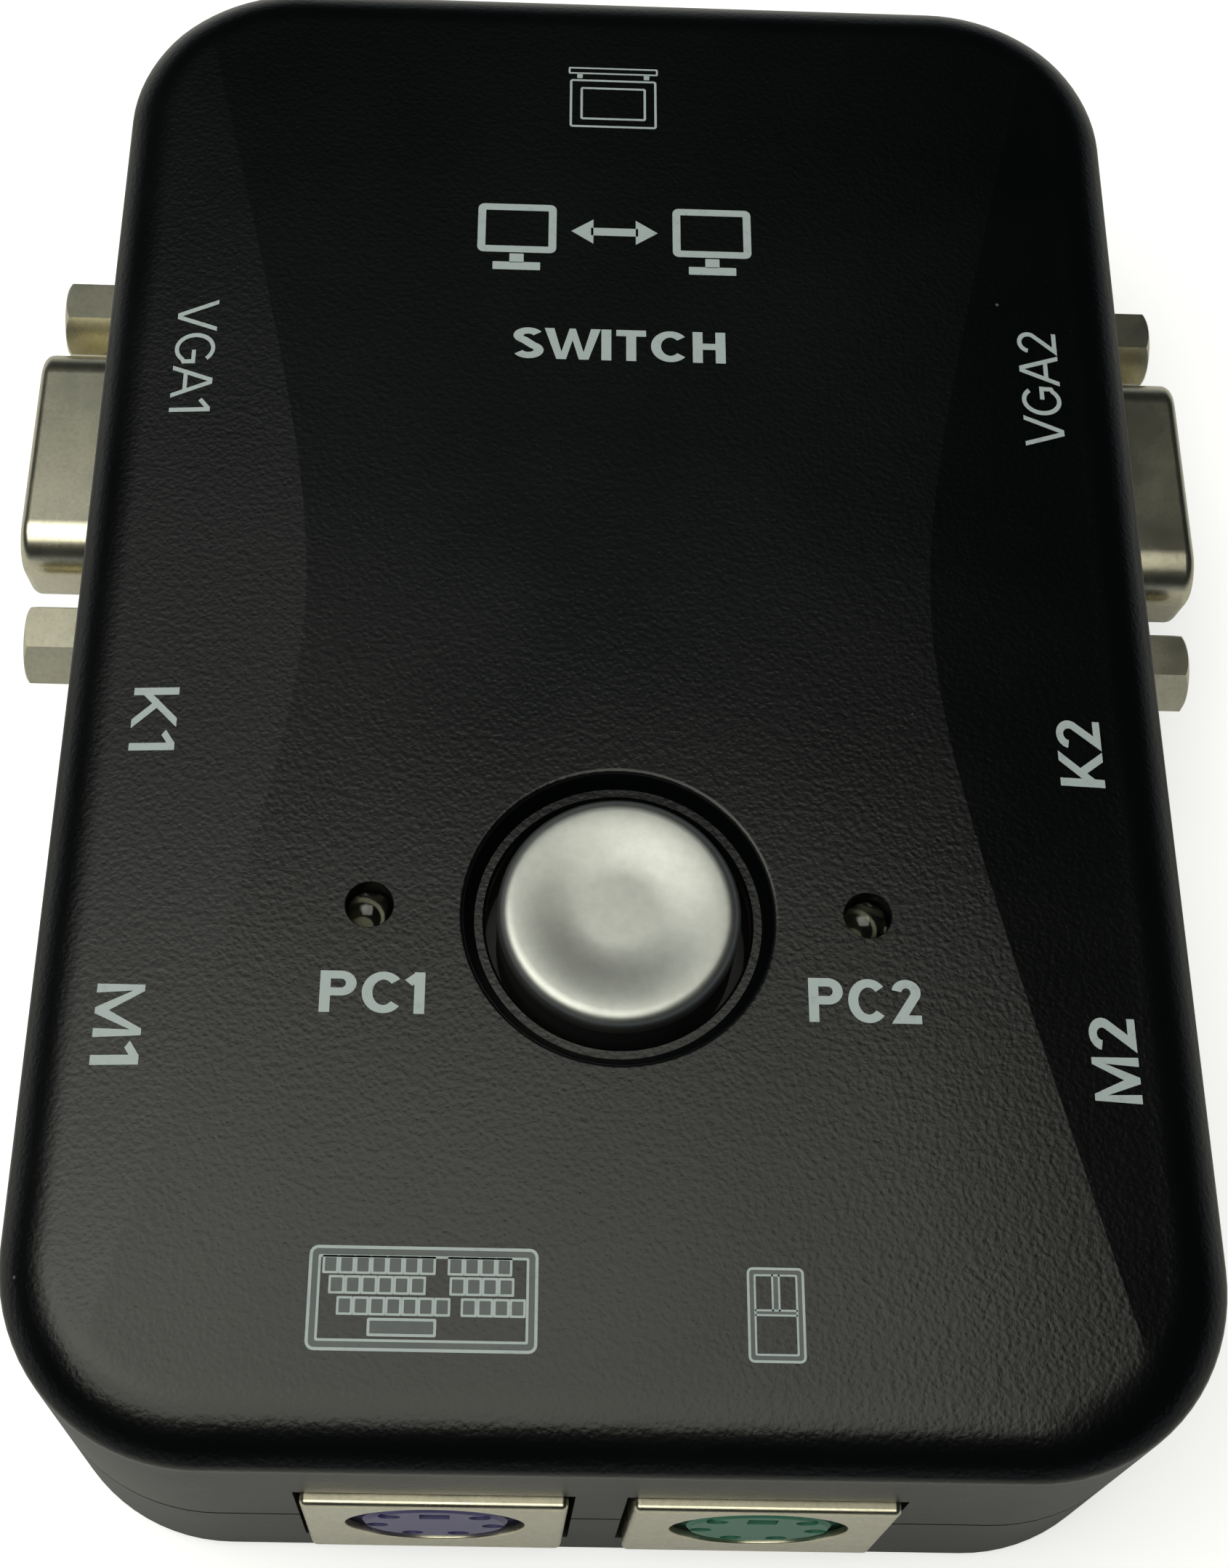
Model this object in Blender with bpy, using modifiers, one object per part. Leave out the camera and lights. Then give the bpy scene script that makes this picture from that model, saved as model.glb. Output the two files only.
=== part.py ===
"""Pocket KVM switch: two computers share one screen, one keyboard and one mouse.

A two-shell plastic case holds one circuit board. Three D-sub video sockets and six round
mini-DIN sockets stand on the board and look out through the walls. A sprung button in the
top presses a switch on the board, and two clear lamps show which computer is connected.

Every piece is placed in the case's own axes: X across, Y from the front wall to the rear,
Z up from the underside of the case. One empty lifts the lot onto its feet and centres it.
"""

import math

import bmesh
import bpy
from mathutils import Matrix, Vector

MM = 0.001
GAP = 0.3 * MM

# Case
CASE_WIDTH = 64.0 * MM
CASE_LENGTH = 96.4 * MM
CASE_TOP = 25.5 * MM
CORNER_RADIUS = 11.0 * MM
RIM_RADIUS = 2.8 * MM
WALL = 2.0 * MM
SEAM = 11.0 * MM
BOTTOM_EDGE = 1.0 * MM
LIP_WALL = 0.8 * MM
LIP_HEIGHT = 1.0 * MM
LIP_SINK = 0.05 * MM

# The flat top narrows to a waist; outside that line the top slopes down to the rim
WAIST_HALF = 18.3 * MM
WAIST_FLARE = 0.262
WAIST_BLEND = 11.0 * MM
SIDE_SLOPE = math.radians(5.0)

# Board
BOARD_THICKNESS = 1.6 * MM
BOARD_TOP = 5.0 * MM
BOARD_INSET = 3.0 * MM
BOARD_REST_RADIUS = 2.0 * MM
BOARD_REST_X = 12.0 * MM
BOARD_REST_Y = 26.0 * MM

# Case screws and feet
POST_X = 24.5 * MM
POST_Y = 40.5 * MM
POST_RADIUS = 2.6 * MM
BOSS_RADIUS = 3.6 * MM
POST_SPLIT = 12.8 * MM
SCREW_RADIUS = 1.2 * MM
SCREW_HOLE_RADIUS = 1.5 * MM
SCREW_LENGTH = 16.0 * MM
SCREW_HEAD_RADIUS = 2.4 * MM
SCREW_HEAD_HEIGHT = 1.1 * MM
SCREW_POCKET_RADIUS = 2.7 * MM
SCREW_POCKET_DEPTH = 1.6 * MM
FOOT_X = 24.0 * MM
FOOT_Y = 31.0 * MM
FOOT_RADIUS = 4.0 * MM
FOOT_STAND = 0.8 * MM
FOOT_POCKET = 0.7 * MM

# Button
BUTTON_Y = -18.8 * MM
BUTTON_RADIUS = 6.6 * MM
BUTTON_TOP = 26.3 * MM
BUTTON_DISH = 0.5 * MM
BUTTON_DISH_RADIUS = 5.7 * MM
BUTTON_EDGE = 0.8 * MM
BUTTON_FLANGE_RADIUS = 7.8 * MM
BUTTON_WALL = 1.0 * MM
BUTTON_ROOF = 1.7 * MM
BUTTON_STEM_RADIUS = 2.4 * MM
BUTTON_SOCKET_RADIUS = 1.3 * MM
BUTTON_HOLE_RADIUS = 7.35 * MM
RECESS_RADIUS = 8.75 * MM
RECESS_FLOOR_RADIUS = 8.05 * MM
RECESS_DEPTH = 1.1 * MM
SLEEVE_RADIUS = 8.9 * MM
SLEEVE_BOTTOM = 20.4 * MM

# Switch under the button
SWITCH_WIDTH = 12.0 * MM
SWITCH_TOP = 8.9 * MM
PLUNGER_RADIUS = 2.0 * MM
PLUNGER_SHOULDER = 18.4 * MM
PLUNGER_PIN_RADIUS = 1.0 * MM
PLUNGER_FOOT = 7.4 * MM
SPRING_RADIUS = 3.5 * MM
SPRING_WIRE = 0.5 * MM
SPRING_TURNS = 5.0
SPRING_STEPS_A_TURN = 8

# Lamps
LAMP_X = 13.7 * MM
LAMP_Y = -18.6 * MM
LAMP_RADIUS = 1.35 * MM
LAMP_TIP = 25.1 * MM
LAMP_BASE = 19.4 * MM
LAMP_HOLE_RADIUS = 1.5 * MM
LAMP_FLANGE_RADIUS = 1.75 * MM
LAMP_FLANGE_HEIGHT = 0.8 * MM
LAMP_STAND_RADIUS = 1.9 * MM
LAMP_STAND_BORE = 1.0 * MM

# Video sockets (high-density D-sub, fifteen contacts)
VIDEO_HEIGHT = 12.2 * MM
VIDEO_SIDE_Y = 16.4 * MM
VIDEO_SINK = 0.1 * MM
FLANGE_WIDTH = 30.8 * MM
FLANGE_HEIGHT = 12.5 * MM
FLANGE_THICKNESS = 0.8 * MM
D_HALF_HEIGHT = 3.95 * MM
D_MID_HALF_WIDTH = 7.97 * MM
D_SIDE_ANGLE = math.radians(10.0)
D_CORNER = 2.6 * MM
D_LENGTH = 5.6 * MM
D_WALL = 0.4 * MM
CONTACT_PITCH = 2.29 * MM
CONTACT_ROW = 1.98 * MM
CONTACT_RADIUS = 0.5 * MM
CONTACT_DEPTH = 5.0 * MM
VIDEO_BODY_DEPTH = 9.0 * MM
VIDEO_BODY_WIDTH = 17.6 * MM
JACK_SPACING = 24.99 * MM
JACK_FLATS = 4.76 * MM
JACK_LENGTH = 4.5 * MM
JACK_BORE_RADIUS = 1.42 * MM
JACK_STUD_RADIUS = 1.4 * MM
JACK_STUD_LENGTH = 6.5 * MM
BRACKET_DEPTH = 6.0 * MM
BRACKET_WIDTH = 4.6 * MM

# Round keyboard and mouse sockets (mini-DIN, six contacts)
DIN_WIDTH = 14.0 * MM
DIN_HEIGHT = 12.6 * MM
DIN_DEPTH = 12.4 * MM
DIN_PLATE = 0.4 * MM
DIN_PROUD = 0.65 * MM
DIN_MOUTH_RADIUS = 4.8 * MM
DIN_CORE_RADIUS = 3.9 * MM
DIN_CORE_SINK = 0.25 * MM
DIN_GROOVE_DEPTH = 7.0 * MM
DIN_CAVITY_RADIUS = 4.45 * MM
DIN_MOUTH_HEIGHT = 7.3 * MM
DIN_CONTACTS = ((1.25, -2.85), (3.1, -0.4), (2.4, 2.1))
DIN_KEY_HALF_WIDTH = 1.0 * MM
DIN_KEY_LOW = 1.6 * MM
DIN_KEY_HIGH = 3.0 * MM
DIN_CLEARANCE = 0.35 * MM
DIN_FRONT_X = {"keyboard": -9.2 * MM, "mouse": 8.2 * MM}
DIN_SIDE_Y = {"keyboard": -8.2 * MM, "mouse": -26.4 * MM}

# Parts on the board: each chip is its x, its y and its size
SWITCHING_CHIP = (7.0 * MM, 9.0 * MM, (4.0 * MM, 10.0 * MM, 1.6 * MM))
CONTROL_CHIP = (-7.0 * MM, 9.0 * MM, (6.0 * MM, 10.0 * MM, 1.6 * MM))
CRYSTAL = (-7.0 * MM, -1.0 * MM, (10.6 * MM, 4.4 * MM, 3.4 * MM))
CHIP_EDGE = 0.25 * MM
CAPACITOR_X = 14.0 * MM
CAPACITOR_Y = 25.0 * MM
CAPACITOR_RADIUS = 2.5 * MM
CAPACITOR_HEIGHT = 7.0 * MM

CORNER_STEPS = 6
SIDE_STEPS = 6
RIM_STEPS = 3
SMOOTH_ANGLE = math.radians(35.0)

FRONT, RIGHT, REAR, LEFT = 0.0, math.pi / 2, math.pi, -math.pi / 2


# ---------------------------------------------------------------- scene and materials

def clear_scene():
    for obj in list(bpy.data.objects):
        bpy.data.objects.remove(obj, do_unlink=True)


def new_collection(name):
    collection = bpy.data.collections.new(name)
    bpy.context.scene.collection.children.link(collection)
    return collection


def new_material(name, colour, roughness, metallic=0.0, alpha=1.0):
    material = bpy.data.materials.new(name)
    material.use_nodes = True
    shader = material.node_tree.nodes["Principled BSDF"]
    shader.inputs["Base Color"].default_value = (*colour, 1.0)
    shader.inputs["Roughness"].default_value = roughness
    shader.inputs["Metallic"].default_value = metallic
    shader.inputs["Alpha"].default_value = alpha
    return material


clear_scene()
MODEL = new_collection("kvm_switch")
CUTTERS = new_collection("cutters")

CASE_PLASTIC = (0.018, 0.019, 0.020)
FINISHES = {
    "top_shell": new_material("top_shell", CASE_PLASTIC, 0.5),
    "bottom_shell": new_material("bottom_shell", CASE_PLASTIC, 0.5),
    "board": new_material("board", (0.02, 0.16, 0.07), 0.45),
    "button": new_material("button", (0.60, 0.60, 0.58), 0.35, 0.9),
    "switch_black": new_material("switch_black", (0.03, 0.03, 0.03), 0.45),
    "spring_steel": new_material("spring_steel", (0.60, 0.60, 0.60), 0.30, 1.0),
    "lamp": new_material("lamp", (0.85, 0.87, 0.86), 0.08, 0.0, 0.4),
    "lamp_stand": new_material("lamp_stand", (0.75, 0.75, 0.72), 0.5),
    "nickel": new_material("nickel", (0.62, 0.58, 0.50), 0.28, 1.0),
    "video_blue": new_material("video_blue", (0.02, 0.07, 0.42), 0.45),
    "keyboard_purple": new_material("keyboard_purple", (0.16, 0.13, 0.42), 0.45),
    "mouse_green": new_material("mouse_green", (0.06, 0.33, 0.21), 0.45),
    "screw_steel": new_material("screw_steel", (0.45, 0.45, 0.46), 0.35, 1.0),
    "foot_rubber": new_material("foot_rubber", (0.04, 0.04, 0.04), 0.8),
    "chip": new_material("chip", (0.02, 0.02, 0.02), 0.5),
    "can": new_material("can", (0.55, 0.56, 0.58), 0.3, 0.8),
}

ORIGIN = bpy.data.objects.new("case_axes", None)
MODEL.objects.link(ORIGIN)


def place(obj, collection, location=(0.0, 0.0, 0.0), turn=0.0):
    collection.objects.link(obj)
    obj.parent = ORIGIN
    obj.location = location
    obj.rotation_euler = (0.0, 0.0, turn)
    return obj


def mesh_from(name, bm):
    mesh = bpy.data.meshes.new(name)
    bmesh.ops.recalc_face_normals(bm, faces=bm.faces)
    bm.to_mesh(mesh)
    bm.free()
    mesh.shade_smooth()
    mesh.set_sharp_from_angle(angle=SMOOTH_ANGLE)
    return mesh


def add_piece(name, mesh, finish, location=(0.0, 0.0, 0.0), turn=0.0):
    """One sub-part of the model, with its finish on the object's own slot."""
    obj = place(bpy.data.objects.new(name, mesh), MODEL, location, turn)
    if not mesh.materials:
        mesh.materials.append(None)
    obj.material_slots[0].link = "OBJECT"
    obj.material_slots[0].material = FINISHES[finish]
    return obj


def add_cutter(name, mesh, location=(0.0, 0.0, 0.0)):
    obj = place(bpy.data.objects.new(name, mesh), CUTTERS, location)
    obj.hide_render = True
    obj.display_type = "WIRE"
    return obj


def combine(target, other, operation):
    modifier = target.modifiers.new(f"{operation.lower()}_{other.name}", "BOOLEAN")
    modifier.operation = operation
    modifier.object = other
    modifier.solver = "EXACT"


def settled_mesh(obj):
    """The mesh that an object's modifiers give, kept so that several copies can share it."""
    depsgraph = bpy.context.evaluated_depsgraph_get()
    depsgraph.update()
    mesh = bpy.data.meshes.new_from_object(obj.evaluated_get(depsgraph))
    bpy.data.objects.remove(obj, do_unlink=True)
    return mesh


# ---------------------------------------------------------------- simple solids

def add_box(bm, low, high):
    size = Vector(high) - Vector(low)
    middle = (Vector(high) + Vector(low)) / 2
    bmesh.ops.create_cube(bm, size=1.0, matrix=Matrix.Translation(middle) @ Matrix.Diagonal((*size, 1.0)))


def add_cylinder(bm, radius, low, high, x=0.0, y=0.0, segments=24):
    """An upright cylinder between two heights."""
    bmesh.ops.create_cone(
        bm, cap_ends=True, segments=segments, radius1=radius, radius2=radius, depth=high - low,
        matrix=Matrix.Translation((x, y, (low + high) / 2)),
    )


def add_rod(bm, radius, near, far, x=0.0, z=0.0, segments=24):
    """A cylinder that lies along Y, from near to far."""
    turn = Matrix.Rotation(math.pi / 2, 4, "X")
    bmesh.ops.create_cone(
        bm, cap_ends=True, segments=segments, radius1=radius, radius2=radius, depth=far - near,
        matrix=Matrix.Translation((x, (near + far) / 2, z)) @ turn,
    )


def turned(name, profile, finish, location=(0.0, 0.0, 0.0), segments=32, closed=False):
    """A turned piece: profile is (radius, height) points, running down the outer side."""
    bm = bmesh.new()
    points = [bm.verts.new((radius, 0.0, height)) for radius, height in profile]
    pairs = list(zip(points, points[1:]))
    if closed:
        pairs.append((points[-1], points[0]))
    for start, end in pairs:
        bm.edges.new((start, end))
    mesh = bpy.data.meshes.new(name)
    bm.to_mesh(mesh)
    bm.free()
    obj = add_piece(name, mesh, finish, location)
    screw = obj.modifiers.new("turn", "SCREW")
    screw.steps = screw.render_steps = segments
    screw.use_merge_vertices = True
    screw.merge_threshold = 0.00001
    screw.use_smooth_shade = True
    return obj


def arc(centre_r, centre_z, radius, start, end, steps):
    """Profile points on an arc, with the angles in degrees from the outward direction."""
    angles = [math.radians(start + (end - start) * i / steps) for i in range(steps + 1)]
    return [(centre_r + radius * math.cos(a), centre_z + radius * math.sin(a)) for a in angles]


# ---------------------------------------------------------------- outlines and lofts

def case_outline(inset):
    """The case seen from above, moved in by inset. Point i lies beside point i of any other inset."""
    half_x = CASE_WIDTH / 2 - CORNER_RADIUS
    half_y = CASE_LENGTH / 2 - CORNER_RADIUS
    radius = CORNER_RADIUS - inset
    points = []
    for quarter, (sign_x, sign_y) in enumerate(((1, 1), (-1, 1), (-1, -1), (1, -1))):
        for step in range(CORNER_STEPS + 1):
            angle = (quarter + step / CORNER_STEPS) * math.pi / 2
            corner = Vector((sign_x * half_x, sign_y * half_y))
            points.append(corner + radius * Vector((math.cos(angle), math.sin(angle))))
        if sign_x == -sign_y:
            start = points[-1]
            run = Vector((0.0, -2 * sign_y * half_y))
            points += [start + run * step / SIDE_STEPS for step in range(1, SIDE_STEPS)]
    return points


def rounded_outline(corners, radius, steps=5):
    """A polygon's outline with each corner turned into an arc. Corners run anticlockwise."""
    points = []
    count = len(corners)
    for i, corner in enumerate(corners):
        corner = Vector(corner)
        back = (Vector(corners[i - 1]) - corner).normalized()
        ahead = (Vector(corners[(i + 1) % count]) - corner).normalized()
        half_angle = back.angle(ahead) / 2
        middle = corner + (back + ahead).normalized() * radius / math.sin(half_angle)
        start = corner + back * radius / math.tan(half_angle) - middle
        sweep = math.pi - 2 * half_angle
        for step in range(steps + 1):
            points.append(middle + Matrix.Rotation(sweep * step / steps, 2) @ start)
    return points


def d_outline(inset):
    """The D of a video socket, wide side up, moved in by inset."""
    half_height = D_HALF_HEIGHT - inset
    middle = D_MID_HALF_WIDTH - inset / math.cos(D_SIDE_ANGLE)
    lean = half_height * math.tan(D_SIDE_ANGLE)
    top, bottom = middle + lean, middle - lean
    corners = ((-bottom, -half_height), (bottom, -half_height), (top, half_height), (-top, half_height))
    return rounded_outline(corners, D_CORNER - inset)


def crease(y):
    """Half the width of the flat top at y: narrow at the waist, wider towards both ends."""
    return WAIST_HALF + WAIST_FLARE * (math.hypot(y, WAIST_BLEND) - WAIST_BLEND)


def top_height(point):
    """Height of the top surface: flat inside the crease, sloping down outside it."""
    outside = max(0.0, abs(point.x) - crease(point.y))
    return CASE_TOP - outside * math.tan(SIDE_SLOPE)


def add_ring(bm, points):
    verts = [bm.verts.new(point) for point in points]
    edges = [bm.edges.new((verts[i - 1], verts[i])) for i in range(len(verts))]
    return verts, edges


def add_loft(bm, rings):
    """Skin between rings of matching points, each to the next. Returns each ring's vertices."""
    made = [add_ring(bm, points) for points in rings]
    for (_, lower), (_, upper) in zip(made, made[1:]):
        bmesh.ops.bridge_loops(bm, edges=lower + upper)
    return [verts for verts, _ in made]


def at_height(outline, height):
    return [(point.x, point.y, height) for point in outline]


def across(outline, y):
    """An outline drawn in X and Z, stood up at y."""
    return [(point.x, y, point.y) for point in outline]


def add_prism(bm, outline, near, far):
    """An X and Z outline made solid from y = near to y = far."""
    first, last = add_loft(bm, [across(outline, near), across(outline, far)])
    bm.faces.new(first)
    bm.faces.new(list(reversed(last)))


def add_turned(bm, profile, x, y, segments=24):
    """A turned solid on an upright axis, from (radius, height) points that start and end on it."""
    verts = [bm.verts.new((x + radius, y, height)) for radius, height in profile]
    edges = [bm.edges.new(pair) for pair in zip(verts, verts[1:])]
    bmesh.ops.spin(
        bm, geom=verts + edges, cent=(x, y, 0.0), axis=(0.0, 0.0, 1.0), dvec=(0.0, 0.0, 0.0),
        angle=2 * math.pi, steps=segments, use_merge=True, use_duplicate=False,
    )
    bmesh.ops.remove_doubles(bm, verts=bm.verts, dist=0.000001)


# ---------------------------------------------------------------- where the sockets stand

VIDEO_SIDE_X = CASE_WIDTH / 2 - VIDEO_SINK
DIN_SIDE_X = CASE_WIDTH / 2 + DIN_PROUD
VIDEO_PLACES = {
    "screen": (0.0, CASE_LENGTH / 2 - VIDEO_SINK, REAR),
    "pc1": (-VIDEO_SIDE_X, VIDEO_SIDE_Y, LEFT),
    "pc2": (VIDEO_SIDE_X, VIDEO_SIDE_Y, RIGHT),
}
DIN_PLACES = {}
for use in ("keyboard", "mouse"):
    DIN_PLACES[f"console_{use}"] = (use, DIN_FRONT_X[use], -CASE_LENGTH / 2 - DIN_PROUD, FRONT)
    DIN_PLACES[f"pc1_{use}"] = (use, -DIN_SIDE_X, DIN_SIDE_Y[use], LEFT)
    DIN_PLACES[f"pc2_{use}"] = (use, DIN_SIDE_X, DIN_SIDE_Y[use], RIGHT)


def add_wall_opening(bm, x, y, turn, half_width, low, high):
    """A block through the wall at a socket's place, as wide as the socket and its clearance."""
    reach = 2 * WALL
    size = Vector((2 * half_width, 2 * reach, high - low))
    matrix = Matrix.Translation((x, y, (low + high) / 2)) @ Matrix.Rotation(turn, 4, "Z")
    bmesh.ops.create_cube(bm, size=1.0, matrix=matrix @ Matrix.Diagonal((*size, 1.0)))


def wall_openings():
    bm = bmesh.new()
    half_height = FLANGE_HEIGHT / 2 + DIN_CLEARANCE
    for x, y, turn in VIDEO_PLACES.values():
        low, high = VIDEO_HEIGHT - half_height, VIDEO_HEIGHT + half_height
        add_wall_opening(bm, x, y, turn, FLANGE_WIDTH / 2 + DIN_CLEARANCE, low, high)
    for _, x, y, turn in DIN_PLACES.values():
        low, high = BOARD_TOP - DIN_CLEARANCE, BOARD_TOP + DIN_HEIGHT + DIN_CLEARANCE
        add_wall_opening(bm, x, y, turn, DIN_WIDTH / 2 + DIN_CLEARANCE, low, high)
    return add_cutter("wall_openings", mesh_from("wall_openings", bm))


def four_corners(x, y):
    return [(sign_x * x, sign_y * y) for sign_x in (-1, 1) for sign_y in (-1, 1)]


# ---------------------------------------------------------------- case

def top_skin():
    """The outside of the top shell: walls, rounded rim, sloping sides and the flat top."""
    bm = bmesh.new()
    inner = case_outline(RIM_RADIUS)
    heights = [top_height(point) for point in inner]
    rings = [at_height(case_outline(0.0), SEAM + GAP / 2)]
    for step in range(RIM_STEPS + 1):
        angle = step / RIM_STEPS * math.pi / 2
        outline = case_outline(RIM_RADIUS * (1 - math.cos(angle)))
        drop = RIM_RADIUS * (1 - math.sin(angle))
        rings.append([(p.x, p.y, height - drop) for p, height in zip(outline, heights)])
    rim = add_loft(bm, rings)[-1]

    # Walk round the rim. Where it lies outside the crease, the flat top's edge is the crease
    edge = []
    for point, vert in zip(inner, rim):
        if abs(point.x) > crease(point.y):
            x = math.copysign(crease(point.y), point.x)
            edge.append(bm.verts.new((x, point.y, CASE_TOP)))
        else:
            edge.append(vert)
    for i in range(len(rim)):
        corners = [rim[i - 1], rim[i], edge[i], edge[i - 1]]
        corners = list(dict.fromkeys(corners))
        if len(corners) > 2:
            bm.faces.new(corners)
    bm.faces.new(edge)
    bm.normal_update()
    return bm


def thicken(obj, thickness):
    solidify = obj.modifiers.new("wall", "SOLIDIFY")
    solidify.thickness = thickness
    solidify.offset = -1.0
    solidify.use_even_offset = True


def make_top_case(openings):
    top = add_piece("top_case", mesh_from("top_case", top_skin()), "top_shell")
    thicken(top, WALL)

    posts = bmesh.new()
    for x, y in four_corners(POST_X, POST_Y):
        add_cylinder(posts, POST_RADIUS, POST_SPLIT, CASE_TOP - WALL / 2, x, y)
    roof = CASE_TOP - RECESS_DEPTH - GAP / 2
    add_cylinder(posts, SLEEVE_RADIUS, SLEEVE_BOTTOM, roof, 0.0, BUTTON_Y, segments=36)
    combine(top, add_cutter("top_posts", mesh_from("top_posts", posts)), "UNION")

    cuts = bmesh.new()
    above, below = CASE_TOP + 2 * MM, SLEEVE_BOTTOM - 2 * MM
    recess = [
        (0.0, above), (RECESS_RADIUS, above), (RECESS_RADIUS, CASE_TOP),
        (RECESS_FLOOR_RADIUS, CASE_TOP - RECESS_DEPTH), (BUTTON_HOLE_RADIUS, CASE_TOP - RECESS_DEPTH),
        (BUTTON_HOLE_RADIUS, below), (0.0, below),
    ]
    add_turned(cuts, recess, 0.0, BUTTON_Y, segments=36)
    for side in (-1, 1):
        add_cylinder(cuts, LAMP_HOLE_RADIUS, CASE_TOP - 2 * WALL, above, side * LAMP_X, LAMP_Y)
    for x, y in four_corners(POST_X, POST_Y):
        screw_end = SCREW_POCKET_DEPTH + SCREW_LENGTH + GAP
        add_cylinder(cuts, SCREW_HOLE_RADIUS, POST_SPLIT - WALL, screw_end, x, y, segments=16)
    combine(top, add_cutter("top_holes", mesh_from("top_holes", cuts)), "DIFFERENCE")

    rebate = bmesh.new()
    outline = case_outline(WALL - LIP_WALL - GAP)
    lip_top = SEAM + GAP / 2 + LIP_HEIGHT + GAP
    first, last = add_loft(rebate, [at_height(outline, SEAM - WALL), at_height(outline, lip_top)])
    rebate.faces.new(first)
    rebate.faces.new(last)
    combine(top, add_cutter("lip_rebate", mesh_from("lip_rebate", rebate)), "DIFFERENCE")
    combine(top, openings, "DIFFERENCE")


def make_bottom_case(openings):
    bm = bmesh.new()
    rings = [at_height(case_outline(0.0), SEAM - GAP / 2)]
    for step in range(3):
        angle = step / 2 * math.pi / 2
        outline = case_outline(BOTTOM_EDGE * (1 - math.cos(angle)))
        rings.append(at_height(outline, BOTTOM_EDGE * (1 - math.sin(angle))))
    bm.faces.new(add_loft(bm, rings)[-1])
    bottom = add_piece("bottom_case", mesh_from("bottom_case", bm), "bottom_shell")
    thicken(bottom, WALL)

    inside = bmesh.new()
    for x, y in four_corners(POST_X, POST_Y):
        add_cylinder(inside, BOSS_RADIUS, WALL / 2, POST_SPLIT - GAP, x, y)
    for x, y in four_corners(BOARD_REST_X, BOARD_REST_Y):
        rest_top = BOARD_TOP - BOARD_THICKNESS - GAP
        add_cylinder(inside, BOARD_REST_RADIUS, WALL / 2, rest_top, x, y, segments=16)
    combine(bottom, add_cutter("bottom_bosses", mesh_from("bottom_bosses", inside)), "UNION")

    band = bmesh.new()
    outline = case_outline(WALL - LIP_WALL)
    add_loft(band, [at_height(outline, height) for height in (SEAM - WALL, SEAM + LIP_HEIGHT)])
    lip = add_cutter("lip", mesh_from("lip", band))
    thicken(lip, LIP_WALL - LIP_SINK)
    combine(bottom, lip, "UNION")

    cuts = bmesh.new()
    above, below = POST_SPLIT + WALL, -WALL
    pocket = [
        (0.0, above), (SCREW_HOLE_RADIUS, above), (SCREW_HOLE_RADIUS, SCREW_POCKET_DEPTH),
        (SCREW_POCKET_RADIUS, SCREW_POCKET_DEPTH), (SCREW_POCKET_RADIUS, below), (0.0, below),
    ]
    for x, y in four_corners(POST_X, POST_Y):
        add_turned(cuts, pocket, x, y, segments=16)
    for x, y in four_corners(FOOT_X, FOOT_Y):
        add_cylinder(cuts, FOOT_RADIUS + GAP, below, FOOT_POCKET, x, y)
    combine(bottom, add_cutter("bottom_holes", mesh_from("bottom_holes", cuts)), "DIFFERENCE")
    combine(bottom, openings, "DIFFERENCE")


def make_fasteners_and_feet():
    head_top = SCREW_POCKET_DEPTH - GAP
    head_bottom = head_top - SCREW_HEAD_HEIGHT
    tip = head_top + SCREW_LENGTH
    taper = 2 * SCREW_RADIUS
    screw = [
        (0.0, tip), (SCREW_RADIUS / 2, tip - taper / 2), (SCREW_RADIUS, tip - taper),
        (SCREW_RADIUS, head_top), (SCREW_HEAD_RADIUS, head_top),
        (SCREW_HEAD_RADIUS, head_bottom + SCREW_HEAD_HEIGHT / 3),
        (SCREW_HEAD_RADIUS * 0.8, head_bottom), (0.0, head_bottom),
    ]
    foot = [
        (0.0, FOOT_POCKET - GAP), (FOOT_RADIUS, FOOT_POCKET - GAP), (FOOT_RADIUS, -FOOT_STAND / 2),
        (FOOT_RADIUS * 0.9, -FOOT_STAND), (0.0, -FOOT_STAND),
    ]
    names = ("front_left", "rear_left", "front_right", "rear_right")
    for name, (x, y) in zip(names, four_corners(POST_X, POST_Y)):
        turned(f"case_screw_{name}", screw, "screw_steel", (x, y, 0.0), segments=16)
    for name, (x, y) in zip(names, four_corners(FOOT_X, FOOT_Y)):
        turned(f"foot_{name}", foot, "foot_rubber", (x, y, 0.0), segments=24)


# ---------------------------------------------------------------- board and what stands on it

def make_board():
    bm = bmesh.new()
    outline = case_outline(BOARD_INSET)
    heights = (BOARD_TOP - BOARD_THICKNESS, BOARD_TOP)
    first, last = add_loft(bm, [at_height(outline, height) for height in heights])
    bm.faces.new(first)
    bm.faces.new(last)
    board = add_piece("main_board", mesh_from("main_board", bm), "board")
    cuts = bmesh.new()
    for x, y in four_corners(POST_X, POST_Y):
        add_cylinder(cuts, BOSS_RADIUS + GAP, 0.0, BOARD_TOP + WALL, x, y, segments=16)
    combine(board, add_cutter("board_holes", mesh_from("board_holes", cuts)), "DIFFERENCE")


def add_chip(name, finish, x, y, size):
    bm = bmesh.new()
    bmesh.ops.create_cube(bm, size=1.0, matrix=Matrix.Diagonal((*size, 1.0)))
    rest = BOARD_TOP + GAP + size[2] / 2
    chip = add_piece(name, mesh_from(name, bm), finish, (x, y, rest))
    bevel = chip.modifiers.new("edge", "BEVEL")
    bevel.width = CHIP_EDGE
    bevel.segments = 1


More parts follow.
